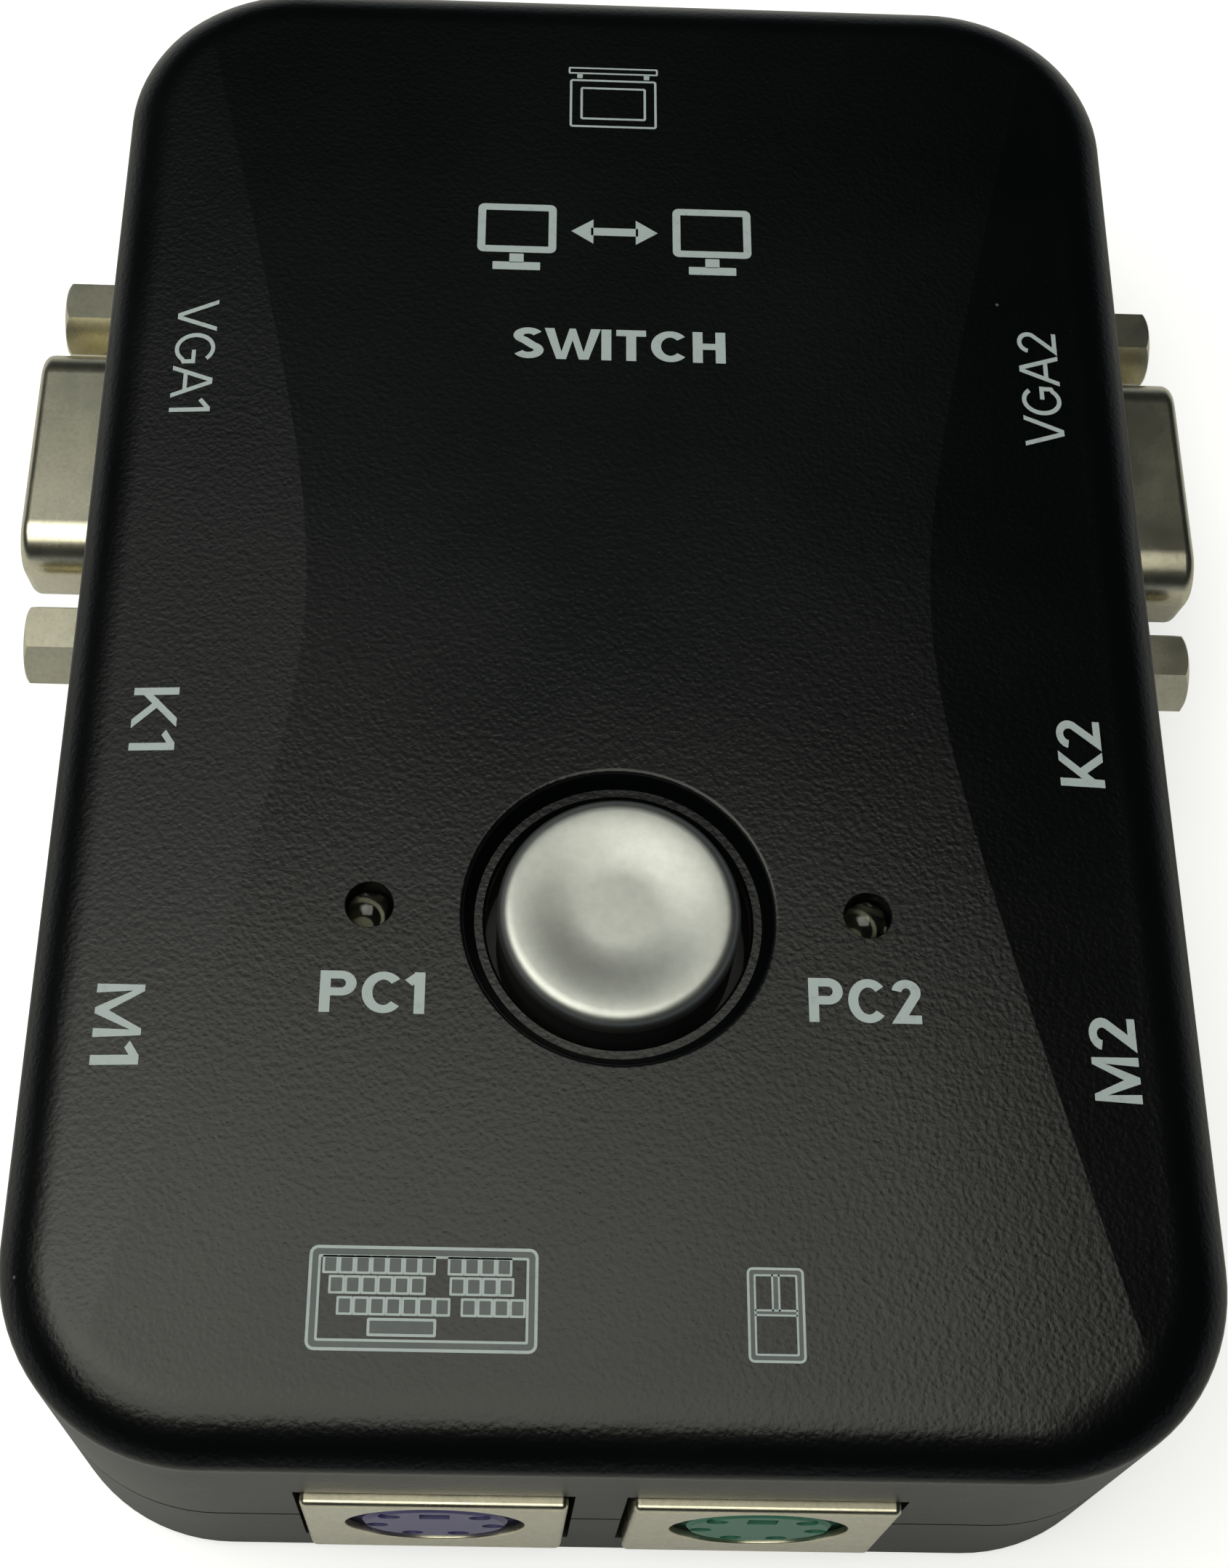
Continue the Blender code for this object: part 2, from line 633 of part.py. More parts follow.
def make_board_parts():
    add_chip("switching_chip", "chip", *SWITCHING_CHIP)
    add_chip("control_chip", "chip", *CONTROL_CHIP)
    add_chip("crystal", "can", *CRYSTAL)
    base = BOARD_TOP + GAP
    for name, x in (("left", -CAPACITOR_X), ("right", CAPACITOR_X)):
        profile = [
            (0.0, base + CAPACITOR_HEIGHT), (CAPACITOR_RADIUS * 0.85, base + CAPACITOR_HEIGHT),
            (CAPACITOR_RADIUS, base + CAPACITOR_HEIGHT * 0.95), (CAPACITOR_RADIUS, base), (0.0, base),
        ]
        turned(f"capacitor_{name}", profile, "can", (x, CAPACITOR_Y, 0.0), segments=20)


def make_lamps():
    shoulder = LAMP_TIP - LAMP_RADIUS
    flange_top = LAMP_BASE + LAMP_FLANGE_HEIGHT
    lens = [(0.0, LAMP_TIP)] + arc(0.0, shoulder, LAMP_RADIUS, 60, 0, 2) + [
        (LAMP_RADIUS, flange_top), (LAMP_FLANGE_RADIUS, flange_top),
        (LAMP_FLANGE_RADIUS, LAMP_BASE), (0.0, LAMP_BASE),
    ]
    low, high = BOARD_TOP + GAP, LAMP_BASE - GAP
    stand = [
        (LAMP_STAND_BORE, high), (LAMP_STAND_RADIUS, high),
        (LAMP_STAND_RADIUS, low), (LAMP_STAND_BORE, low),
    ]
    for name, x in (("pc1", -LAMP_X), ("pc2", LAMP_X)):
        turned(f"lamp_{name}", lens, "lamp", (x, LAMP_Y, 0.0), segments=20)
        turned(f"lamp_stand_{name}", stand, "lamp_stand", (x, LAMP_Y, 0.0), segments=16, closed=True)


# ---------------------------------------------------------------- button and switch

def make_button():
    roof = BUTTON_TOP - BUTTON_ROOF
    flange_top = SLEEVE_BOTTOM - GAP
    flange_bottom = flange_top - BUTTON_WALL
    stem_bottom = PLUNGER_SHOULDER + GAP
    cavity = BUTTON_RADIUS - BUTTON_WALL
    edge = BUTTON_EDGE
    dish = [
        (BUTTON_DISH_RADIUS * step / 3, BUTTON_TOP - BUTTON_DISH * (1 - (step / 3) ** 2))
        for step in range(4)
    ]
    cap = dish + arc(BUTTON_RADIUS - edge, BUTTON_TOP - edge, edge, 60, 0, 2) + [
        (BUTTON_RADIUS, flange_top), (BUTTON_FLANGE_RADIUS, flange_top),
        (BUTTON_FLANGE_RADIUS, flange_bottom), (cavity, flange_bottom), (cavity, roof),
        (BUTTON_STEM_RADIUS, roof), (BUTTON_STEM_RADIUS, stem_bottom),
        (BUTTON_SOCKET_RADIUS, stem_bottom), (BUTTON_SOCKET_RADIUS, roof - WALL), (0.0, roof - WALL),
    ]
    turned("button_cap", cap, "button", (0.0, BUTTON_Y, 0.0), segments=32)

    pin_top = roof - WALL - GAP
    plunger = [
        (0.0, pin_top), (PLUNGER_PIN_RADIUS, pin_top), (PLUNGER_PIN_RADIUS, PLUNGER_SHOULDER),
        (PLUNGER_RADIUS, PLUNGER_SHOULDER), (PLUNGER_RADIUS, PLUNGER_FOOT), (0.0, PLUNGER_FOOT),
    ]
    turned("switch_plunger", plunger, "switch_black", (0.0, BUTTON_Y, 0.0), segments=20)


def make_switch():
    half = SWITCH_WIDTH / 2
    body = bmesh.new()
    add_box(body, (-half, -half, BOARD_TOP + GAP), (half, half, SWITCH_TOP))
    mesh = mesh_from("switch_housing", body)
    housing = add_piece("switch_housing", mesh, "switch_black", (0.0, BUTTON_Y, 0.0))
    bore = bmesh.new()
    low, high = BOARD_TOP + 2 * GAP, SWITCH_TOP + WALL
    add_cylinder(bore, PLUNGER_RADIUS + GAP, low, high, 0.0, BUTTON_Y, segments=20)
    combine(housing, add_cutter("switch_bore", mesh_from("switch_bore", bore)), "DIFFERENCE")


def make_spring():
    """The button's return spring: a round wire coil from the switch up to the cap's roof."""
    low = SWITCH_TOP + GAP + SPRING_WIRE / 2
    high = BUTTON_TOP - BUTTON_ROOF - GAP - SPRING_WIRE / 2
    steps = int(SPRING_TURNS * SPRING_STEPS_A_TURN)
    curve = bpy.data.curves.new("return_spring", "CURVE")
    curve.dimensions = "3D"
    curve.bevel_depth = SPRING_WIRE / 2
    curve.bevel_resolution = 2
    curve.use_fill_caps = True
    spline = curve.splines.new("POLY")
    spline.points.add(steps)
    for i in range(steps + 1):
        angle = 2 * math.pi * i / SPRING_STEPS_A_TURN
        height = low + (high - low) * i / steps
        x, y = SPRING_RADIUS * math.cos(angle), SPRING_RADIUS * math.sin(angle)
        spline.points[i].co = (x, y, height, 1.0)
    curve.materials.append(FINISHES["spring_steel"])
    place(bpy.data.objects.new("return_spring", curve), MODEL, (0.0, BUTTON_Y, 0.0))


# ---------------------------------------------------------------- video sockets
# A socket is modelled facing the front (-Y), with its flange's face at y = 0 and its middle at z = 0.

def video_shell_mesh():
    half_width, half_height = FLANGE_WIDTH / 2, FLANGE_HEIGHT / 2
    flange = bmesh.new()
    add_box(flange, (-half_width, 0.0, -half_height), (half_width, FLANGE_THICKNESS, half_height))
    shell = add_piece("video_shell", mesh_from("video_shell", flange), "nickel")

    solids = bmesh.new()
    add_prism(solids, d_outline(0.0), -D_LENGTH, FLANGE_THICKNESS / 2)
    for side in (-1, 1):
        middle = side * JACK_SPACING / 2
        low = (middle - BRACKET_WIDTH / 2, FLANGE_THICKNESS / 2, -half_height + FLANGE_THICKNESS)
        far = FLANGE_THICKNESS + BRACKET_DEPTH
        high = (middle + BRACKET_WIDTH / 2, far, half_height - FLANGE_THICKNESS)
        add_box(solids, low, high)
    combine(shell, add_cutter("video_shell_solids", mesh_from("video_shell_solids", solids)), "UNION")

    cuts = bmesh.new()
    add_prism(cuts, d_outline(D_WALL), -D_LENGTH - WALL, FLANGE_THICKNESS + WALL)
    for side in (-1, 1):
        far = FLANGE_THICKNESS + BRACKET_DEPTH + WALL
        add_rod(cuts, JACK_STUD_RADIUS + GAP, -WALL, far, side * JACK_SPACING / 2, segments=16)
    combine(shell, add_cutter("video_shell_holes", mesh_from("video_shell_holes", cuts)), "DIFFERENCE")
    return settled_mesh(shell)


def video_insert_mesh():
    block = bmesh.new()
    near = WALL + GAP
    low = (-VIDEO_BODY_WIDTH / 2, near, BOARD_TOP + GAP - VIDEO_HEIGHT)
    high = (VIDEO_BODY_WIDTH / 2, near + VIDEO_BODY_DEPTH, FLANGE_HEIGHT / 2 - GAP)
    add_box(block, low, high)
    insert = add_piece("video_insert", mesh_from("video_insert", block), "video_blue")

    nose = bmesh.new()
    add_prism(nose, d_outline(D_WALL + GAP), -D_LENGTH + GAP, near + WALL)
    combine(insert, add_cutter("video_nose", mesh_from("video_nose", nose)), "UNION")

    holes = bmesh.new()
    for row in (-1, 0, 1):
        shift = CONTACT_PITCH / 4 * (-1 if row == 0 else 1)
        for column in range(-2, 3):
            x = column * CONTACT_PITCH + shift
            z = row * CONTACT_ROW
            add_rod(holes, CONTACT_RADIUS, -D_LENGTH - WALL, CONTACT_DEPTH - D_LENGTH, x, z, segments=6)
    contacts = add_cutter("video_contact_holes", mesh_from("video_contact_holes", holes))
    combine(insert, contacts, "DIFFERENCE")
    return settled_mesh(insert)


def jack_mesh():
    """A hexagonal jackscrew: a tapped head in front of the flange and a stud through it."""
    head_radius = JACK_FLATS / math.sqrt(3)
    head = bmesh.new()
    add_rod(head, head_radius, -GAP - JACK_LENGTH, -GAP, segments=6)
    flats_level = Matrix.Rotation(math.pi / 6, 3, "Y")
    bmesh.ops.rotate(head, cent=(0.0, 0.0, 0.0), matrix=flats_level, verts=head.verts)
    jack = add_piece("jack", mesh_from("jack", head), "nickel")
    stud = bmesh.new()
    add_rod(stud, JACK_STUD_RADIUS, -GAP - JACK_LENGTH / 10, JACK_STUD_LENGTH, segments=16)
    combine(jack, add_cutter("jack_stud", mesh_from("jack_stud", stud)), "UNION")
    bore = bmesh.new()
    add_rod(bore, JACK_BORE_RADIUS, -JACK_LENGTH - WALL, -GAP - JACK_LENGTH / 5, segments=16)
    combine(jack, add_cutter("jack_bore", mesh_from("jack_bore", bore)), "DIFFERENCE")
    return settled_mesh(jack)


def make_video_sockets():
    shell, insert, jack = video_shell_mesh(), video_insert_mesh(), jack_mesh()
    for name, (x, y, turn) in VIDEO_PLACES.items():
        place_at = (x, y, VIDEO_HEIGHT)
        add_piece(f"video_shell_{name}", shell, "nickel", place_at, turn)
        add_piece(f"video_insert_{name}", insert, "video_blue", place_at, turn)
        along = Matrix.Rotation(turn, 3, "Z") @ Vector((JACK_SPACING / 2, 0.0, 0.0))
        for end, sign in (("a", -1), ("b", 1)):
            spot = Vector(place_at) + sign * along
            add_piece(f"jackscrew_{name}_{end}", jack, "nickel", spot, turn)


# ---------------------------------------------------------------- keyboard and mouse sockets
# Modelled facing the front (-Y), with the plate's face at y = 0 and its lower edge at z = 0.

def din_shield_mesh():
    """The bent metal cover: a front plate with a round mouth, a top and two sides."""
    half = DIN_WIDTH / 2
    bm = bmesh.new()
    add_box(bm, (-half, 0.0, 0.0), (half, DIN_DEPTH, DIN_HEIGHT))
    bm.normal_update()
    unwanted = [face for face in bm.faces if face.normal.y > 0.5 or face.normal.z < -0.5]
    bmesh.ops.delete(bm, geom=unwanted, context="FACES")
    mesh = bpy.data.meshes.new("din_shield")
    bm.to_mesh(mesh)
    bm.free()
    shield = add_piece("din_shield", mesh, "nickel")
    thicken(shield, DIN_PLATE)
    mouth = bmesh.new()
    add_rod(mouth, DIN_MOUTH_RADIUS, -WALL, WALL, 0.0, DIN_MOUTH_HEIGHT, segments=32)
    combine(shield, add_cutter("din_mouth", mesh_from("din_mouth", mouth)), "DIFFERENCE")
    return settled_mesh(shield)


def din_insert_mesh():
    half = DIN_WIDTH / 2 - DIN_PLATE - GAP
    near = DIN_PLATE + GAP
    block = bmesh.new()
    add_box(block, (-half, near, GAP), (half, DIN_DEPTH - GAP, DIN_HEIGHT - DIN_PLATE - GAP))
    insert = add_piece("din_insert", mesh_from("din_insert", block), "keyboard_purple")

    cavity = bmesh.new()
    add_rod(cavity, DIN_CAVITY_RADIUS, -WALL, DIN_GROOVE_DEPTH, 0.0, DIN_MOUTH_HEIGHT, segments=28)
    combine(insert, add_cutter("din_cavity", mesh_from("din_cavity", cavity)), "DIFFERENCE")
    core = bmesh.new()
    far = DIN_GROOVE_DEPTH + WALL
    add_rod(core, DIN_CORE_RADIUS, DIN_CORE_SINK, far, 0.0, DIN_MOUTH_HEIGHT, segments=24)
    combine(insert, add_cutter("din_core", mesh_from("din_core", core)), "UNION")

    holes = bmesh.new()
    for x, z in DIN_CONTACTS:
        for side in (-1, 1):
            height = DIN_MOUTH_HEIGHT + z * MM
            add_rod(holes, CONTACT_RADIUS, -WALL, CONTACT_DEPTH, side * x * MM, height, segments=6)
    low = (-DIN_KEY_HALF_WIDTH, -WALL, DIN_MOUTH_HEIGHT + DIN_KEY_LOW)
    high = (DIN_KEY_HALF_WIDTH, CONTACT_DEPTH, DIN_MOUTH_HEIGHT + DIN_KEY_HIGH)
    add_box(holes, low, high)
    combine(insert, add_cutter("din_contact_holes", mesh_from("din_contact_holes", holes)), "DIFFERENCE")
    return settled_mesh(insert)


def make_din_sockets():
    shield, insert = din_shield_mesh(), din_insert_mesh()
    colours = {"keyboard": "keyboard_purple", "mouse": "mouse_green"}
    for name, (use, x, y, turn) in DIN_PLACES.items():
        add_piece(f"din_shield_{name}", shield, "nickel", (x, y, BOARD_TOP), turn)
        add_piece(f"din_insert_{name}", insert, colours[use], (x, y, BOARD_TOP), turn)


# ---------------------------------------------------------------- the whole switch

def main():
    openings = wall_openings()
    make_top_case(openings)
    make_bottom_case(openings)
    make_fasteners_and_feet()
    make_board()
    make_board_parts()
    make_lamps()
    make_button()
    make_switch()
    make_spring()
    make_video_sockets()
    make_din_sockets()

    # The origin goes below the middle of the whole length, on the surface the feet stand on
    front = -CASE_LENGTH / 2 - DIN_PROUD
    rear = CASE_LENGTH / 2 - VIDEO_SINK + D_LENGTH
    ORIGIN.location = (0.0, -(front + rear) / 2, FOOT_STAND)
    bpy.context.view_layer.update()


main()
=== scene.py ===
"""Pocket KVM switch, finished to be looked at.

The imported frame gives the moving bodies. Each operator below makes one group of pieces in
fine meshes and node materials: case shells, markings, button, lamps, video sockets, round
sockets, fasteners and the parts inside. The stage operator adds floor, light and camera.

Pieces are shaped in the case's own axes: X across, Y from the front wall to the rear, Z up
from the underside of the case. They are moved onto the frame just before they are finished.
"""

import math

import bmesh
import bpy
from bpy.props import FloatProperty, FloatVectorProperty, PointerProperty
from bpy.types import Operator, Panel, PropertyGroup
from mathutils import Matrix, Vector


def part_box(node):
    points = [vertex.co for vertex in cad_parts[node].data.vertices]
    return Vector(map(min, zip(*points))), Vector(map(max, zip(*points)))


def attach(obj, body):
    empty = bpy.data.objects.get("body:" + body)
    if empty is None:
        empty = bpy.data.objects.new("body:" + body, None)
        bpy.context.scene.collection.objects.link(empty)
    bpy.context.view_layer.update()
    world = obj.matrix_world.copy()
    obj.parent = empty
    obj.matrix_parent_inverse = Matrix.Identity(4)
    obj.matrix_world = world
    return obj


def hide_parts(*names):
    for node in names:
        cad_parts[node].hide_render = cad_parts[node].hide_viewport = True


bl_info = {
    "name": "Pocket KVM Switch",
    "version": (1, 0, 0),
    "blender": (4, 5, 0),
    "location": "3D View > Sidebar > KVM Switch",
    "description": "Builds the visible pieces of a two-computer KVM switch on its packed frame",
    "category": "Add Mesh",
}

MM = 0.001
GAP = 0.3 * MM

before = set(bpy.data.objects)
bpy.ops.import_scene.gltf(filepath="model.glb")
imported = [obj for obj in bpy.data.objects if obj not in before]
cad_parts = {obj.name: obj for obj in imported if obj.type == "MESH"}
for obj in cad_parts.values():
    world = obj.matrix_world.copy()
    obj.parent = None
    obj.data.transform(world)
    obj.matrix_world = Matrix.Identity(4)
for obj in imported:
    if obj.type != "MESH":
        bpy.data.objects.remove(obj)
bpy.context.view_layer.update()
CASE_LOW, CASE_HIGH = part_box("top_case")

# Case
CASE_WIDTH = CASE_HIGH.x - CASE_LOW.x
CASE_LENGTH = CASE_HIGH.y - CASE_LOW.y
CASE_TOP = 25.5 * MM
ORIGIN = Vector((0.0, (CASE_HIGH.y + CASE_LOW.y) / 2, CASE_HIGH.z - CASE_TOP))
CORNER_RADIUS = 11.0 * MM
WALL = 2.0 * MM
SEAM = 11.0 * MM
BOTTOM_EDGE = 1.0 * MM
LIP_WALL = 0.8 * MM
LIP_HEIGHT = 1.0 * MM
WAIST_HALF = 18.3 * MM
WAIST_FLARE = 0.262
WAIST_BLEND = 11.0 * MM
CORNER_STEPS = 20
SIDE_STEPS = 40
RIM_CHANGE = math.radians(50.0)
RIM_BAND = 0.4 * MM
RIM_FOOT = 2.1 * MM
RIM_FADE = 0.2 * MM

# Board, posts, screws and feet. Posts and feet are given by their distance from the middle
BOARD_TOP = 5.0 * MM
POST_X, POST_Y = 24.5 * MM, 40.5 * MM
POST_RADIUS = 2.6 * MM
BOSS_RADIUS = 3.6 * MM
POST_SPLIT = 12.8 * MM
SCREW_HOLE_RADIUS = 1.5 * MM
SCREW_POCKET_RADIUS = 2.7 * MM
SCREW_POCKET_DEPTH = 1.6 * MM
SCREW_LENGTH = 16.0 * MM
FOOT_X, FOOT_Y = 24.0 * MM, 31.0 * MM
FOOT_RADIUS = 4.0 * MM
FOOT_STAND = 0.8 * MM
FOOT_POCKET = 0.7 * MM

# Button and lamps
BUTTON_Y = -18.8 * MM
BUTTON_HOLE_RADIUS = 7.35 * MM
RECESS_RADIUS = 8.45 * MM
RECESS_FLOOR_RADIUS = 7.95 * MM
RECESS_DEPTH = 1.1 * MM
SLEEVE_RADIUS = 8.9 * MM
SLEEVE_BOTTOM = 20.4 * MM
LAMP_X, LAMP_Y = 13.7 * MM, -18.6 * MM
LAMP_RADIUS = 1.24 * MM
LAMP_TIP = 25.45 * MM
LAMP_BASE = 19.4 * MM
LAMP_HOLE_RADIUS = 1.3 * MM

# Video sockets
VIDEO_HEIGHT = 12.2 * MM
VIDEO_SIDE_Y = 16.4 * MM
VIDEO_SINK = 0.1 * MM
FLANGE_WIDTH = 30.8 * MM
FLANGE_HEIGHT = 12.5 * MM
FLANGE_THICKNESS = 0.8 * MM
FLANGE_CORNER = 0.9 * MM
D_HALF_HEIGHT = 3.95 * MM
D_MID_HALF_WIDTH = 7.97 * MM
D_SIDE_ANGLE = math.radians(10.0)
D_CORNER = 2.6 * MM
D_LENGTH = 5.6 * MM
D_FRONT_EDGE = 0.7 * MM
CONTACT_PITCH = 2.29 * MM
CONTACT_ROW = 1.98 * MM
CONTACT_RADIUS = 0.5 * MM
JACK_SPACING = 24.99 * MM
JACK_FLATS = 4.76 * MM
JACK_LENGTH = 4.8 * MM
JACK_BORE_RADIUS = 1.3 * MM
JACK_THREAD_PITCH = 0.635 * MM
STUD_RADIUS = 1.4 * MM
STUD_LENGTH = 6.5 * MM
STUD_HOLE_RADIUS = 1.7 * MM
CONTACT_DEPTH = 5.0 * MM

# Round sockets
DIN_WIDTH = 14.0 * MM
DIN_HEIGHT = 12.6 * MM
DIN_DEPTH = 12.4 * MM
DIN_PLATE = 0.4 * MM
DIN_PROUD = 0.65 * MM
DIN_MOUTH_RADIUS = 4.8 * MM
DIN_MOUTH_HEIGHT = 7.3 * MM
DIN_CORE_RADIUS = 3.9 * MM
DIN_CAVITY_RADIUS = 4.45 * MM
DIN_GROOVE_DEPTH = 7.0 * MM
# The contacts on one side, across and up from the mouth's middle, in millimetres
DIN_CONTACTS = ((1.25, -2.85), (3.1, -0.4), (2.4, 2.1))
DIN_HOLE_RADIUS = 0.6 * MM
DIN_KEY_HALF = 0.8 * MM
DIN_KEY_HEIGHTS = (1.6 * MM, 3.0 * MM)
DIN_BEND = 0.35 * MM
DIN_CLEARANCE = 0.35 * MM
DIN_FRONT_X = {"keyboard": -9.2 * MM, "mouse": 8.2 * MM}
DIN_SIDE_Y = {"keyboard": -8.2 * MM, "mouse": -26.4 * MM}

FRONT, RIGHT, REAR, LEFT = 0.0, math.pi / 2, math.pi, -math.pi / 2
VIDEO_SIDE_X = CASE_WIDTH / 2 - VIDEO_SINK
DIN_SIDE_X = CASE_WIDTH / 2 + DIN_PROUD
VIDEO_PLACES = {
    "screen": (0.0, CASE_LENGTH / 2 - VIDEO_SINK, REAR),
    "pc1": (-VIDEO_SIDE_X, VIDEO_SIDE_Y, LEFT),
    "pc2": (VIDEO_SIDE_X, VIDEO_SIDE_Y, RIGHT),
}
DIN_PLACES = {}
for use in ("keyboard", "mouse"):
    DIN_PLACES[f"console_{use}"] = (use, DIN_FRONT_X[use], -CASE_LENGTH / 2 - DIN_PROUD, FRONT)
    DIN_PLACES[f"pc1_{use}"] = (use, -DIN_SIDE_X, DIN_SIDE_Y[use], LEFT)
    DIN_PLACES[f"pc2_{use}"] = (use, DIN_SIDE_X, DIN_SIDE_Y[use], RIGHT)

# Printing: each word with its middle and its size in millimetres, its turn in degrees and its
# strokes' half width as a share of their height
INK_HALF = 0.02 * MM
THIN_INK_HALF = 0.012 * MM
LETTER_GAP = 0.1
LABELS = {
    "label_pc1": ("PC1", (-13.3, -23.65), (5.65, 2.35), 0.0, 0.096),
    "label_pc2": ("PC2", (13.3, -23.55), (6.1, 2.5), 0.0, 0.096),
    "label_video_pc1": ("VGA1", (-26.2, 17.5), (8.0, 2.5), -90.0, 0.05),
    "label_video_pc2": ("VGA2", (26.2, 16.9), (8.2, 2.5), 90.0, 0.055),
    "label_keyboard_pc1": ("K1", (-26.5, -7.3), (4.0, 2.6), -90.0, 0.062),
    "label_keyboard_pc2": ("K2", (26.5, -8.1), (4.2, 2.6), 90.0, 0.08),
    "label_mouse_pc1": ("M1", (-26.8, -25.6), (4.6, 2.6), -90.0, 0.072),
    "label_mouse_pc2": ("M2", (26.7, -26.5), (4.8, 2.6), 90.0, 0.085),
    "label_switch": ("SWITCH", (0.0, 18.9), (13.2, 2.3), 0.0, 0.1),
}
# The keyboard sign's keys, in millimetres: each row's height, then its blocks' first key and count
KEY_PITCH = 0.825
KEY_ROWS = (
    (1.68, (-4.75, 7), (1.63, 4)), (0.66, (-4.4, 6), (1.75, 4)), (-0.4, (-3.95, 7), (2.35, 4)),
)

# Signs: their middles, in millimetres
SCREEN_SIGN = (-0.4, 38.5)
KEYBOARD_SIGN = (-9.98, -39.97)
MOUSE_SIGN = (8.0, -40.45)
SWITCH_SIGN = (-0.3, 27.2)

# Soft panels overhead, facing down: two corners and height in metres, brightness and colour
PANELS = (
    ("main_panel", (-0.50, -0.36), (0.15, 0.19), 0.60, 2.55, (1.0, 1.0, 0.88)),
    ("left_panel", (-0.75, -0.10), (-0.13, 0.34), 0.62, 1.0, (1.0, 1.0, 0.92)),
    ("rear_panel", (-0.45, 0.20), (0.12, 0.50), 0.61, 0.12, (0.8, 0.95, 1.0)),
)

# Camera: its place from the case's own origin in millimetres, its turns and its lens
CAMERA_PLACE = (-6.83, -70.62, 154.33)
CAMERA_TURNS = (("Z", -3.08), ("X", 28.62), ("Z", 4.16))
CAMERA_SENSOR, CAMERA_LENS = 36.0, 57.79
CAMERA_SHIFT = (0.030, -0.106)
CAMERA_RANGE = (0.01, 10.0)


# ---------------------------------------------------------------- settings

def colour_setting(name, description, default):
    return FloatVectorProperty(
        name=name, description=description, default=default, subtype="COLOR", size=3,
        min=0.0, max=1.0,
    )


def length_setting(name, description, default):
    return FloatProperty(
        name=name, description=description, default=default, unit="LENGTH", subtype="DISTANCE",
        precision=4,
    )


class SwitchShape(PropertyGroup):
    rim_radius: length_setting("Rim Radius", "Wide rounding at the border of the top", 4.4 * MM)
    edge_radius: length_setting("Edge Radius", "Tight rounding where it meets the walls", 0.9 * MM)
    side_slope: FloatProperty(
        name="Side Slope", description="How far the top falls away outside the crease",
        default=math.radians(5.0), unit="ROTATION", subtype="ANGLE",
    )
    button_radius: length_setting("Button Radius", "Outer radius of the push button", 6.7 * MM)
    button_top: length_setting("Button Top", "Height of the button's rim over the underside", 26.3 * MM)
    button_dish: length_setting("Button Dish", "Depth of the hollow in the button", 0.32 * MM)


class SwitchFinish(PropertyGroup):
    case: colour_setting("Case", "Moulded case plastic", (0.0013, 0.0018, 0.0019))
    ink: colour_setting("Ink", "Printed marks on the top", (0.45, 0.52, 0.54))
    nickel: colour_setting("Nickel", "Plated socket shells", (0.72, 0.68, 0.53))
    button: colour_setting("Button", "Satin push button", (0.46, 0.47, 0.45))
    keyboard: colour_setting("Keyboard Sockets", "Core of the keyboard sockets", (0.1, 0.09, 0.23))
    mouse: colour_setting("Mouse Sockets", "Core of the mouse sockets", (0.04, 0.19, 0.125))
    video: colour_setting("Video Sockets", "Contact block of the video sockets", (0.01, 0.045, 0.22))
    board: colour_setting("Board", "Solder mask of the circuit board", (0.012, 0.085, 0.035))


class SwitchStage(PropertyGroup):
    floor: colour_setting("Floor", "Plain floor", (0.86, 0.86, 0.87))
    glow: FloatProperty(
        name="Floor Glow", description="Light that the floor gives of itself, as a light table does",
        default=0.6,
    )
    horizon: FloatProperty(
        name="Horizon", description="Strength of the low light from all round", default=0.35,
    )
    zenith: FloatProperty(
        name="Zenith", description="Strength of the surround overhead", default=0.015,
    )
    panel: FloatProperty(
        name="Panels", description="Brightness of the soft panels above", default=1.0,
    )


# ---------------------------------------------------------------- node groups and materials

NUMBER = "NodeSocketFloat"
DUST_COLOUR = (0.1, 0.105, 0.1)


def new_group(name, inputs, outputs):
    """A shader node group. Inputs are (label, socket type, default) and outputs (label, type)."""
    group = bpy.data.node_groups.new(name, "ShaderNodeTree")
    for label, kind, default in inputs:
        socket = group.interface.new_socket(label, in_out="INPUT", socket_type=kind)
        socket.default_value = default
    for label, kind in outputs:
        group.interface.new_socket(label, in_out="OUTPUT", socket_type=kind)
    return group, group.nodes.new("NodeGroupInput"), group.nodes.new("NodeGroupOutput")


def feed(tree, socket, value):
    """Sets a socket to a value, or links it to another node's output."""
    if isinstance(value, bpy.types.NodeSocket):
        tree.links.new(value, socket)
    else:
        socket.default_value = value


def wire(tree, node, **inputs):
    """Feeds a node's inputs. A line under stands for the space in an input's name."""
    for name, value in inputs.items():
        feed(tree, node.inputs[name.replace("_", " ")], value)
    return node


def add_node(tree, kind, settings=None, **inputs):
    """A node with its settings and its inputs."""
    node = tree.nodes.new(kind)
    for name, value in (settings or {}).items():
        setattr(node, name, value)
    return wire(tree, node, **inputs)


def maths(tree, operation, first, second):
    node = add_node(tree, "ShaderNodeMath", {"operation": operation})
    feed(tree, node.inputs[0], first)
    feed(tree, node.inputs[1], second)
    return node.outputs[0]


def blended(tree, mask, first, second):
    """The first colour where the mask is 0 and the second where it is 1."""
    node = add_node(tree, "ShaderNodeMix", {"data_type": "RGBA"})
    feed(tree, node.inputs[0], mask)
    for socket, colour in ((node.inputs[6], first), (node.inputs[7], second)):
        feed(tree, socket, (*colour, 1.0) if isinstance(colour, tuple) else colour)
    return node.outputs[2]


def ranged(tree, value, from_low, from_high, to_low=0.0, to_high=1.0):
    node = add_node(
        tree, "ShaderNodeMapRange", Value=value, From_Min=from_low, From_Max=from_high,
        To_Min=to_low, To_Max=to_high,
    )
    return node.outputs[0]


def object_place(tree):
    return tree.nodes.new("ShaderNodeTexCoord").outputs["Object"]


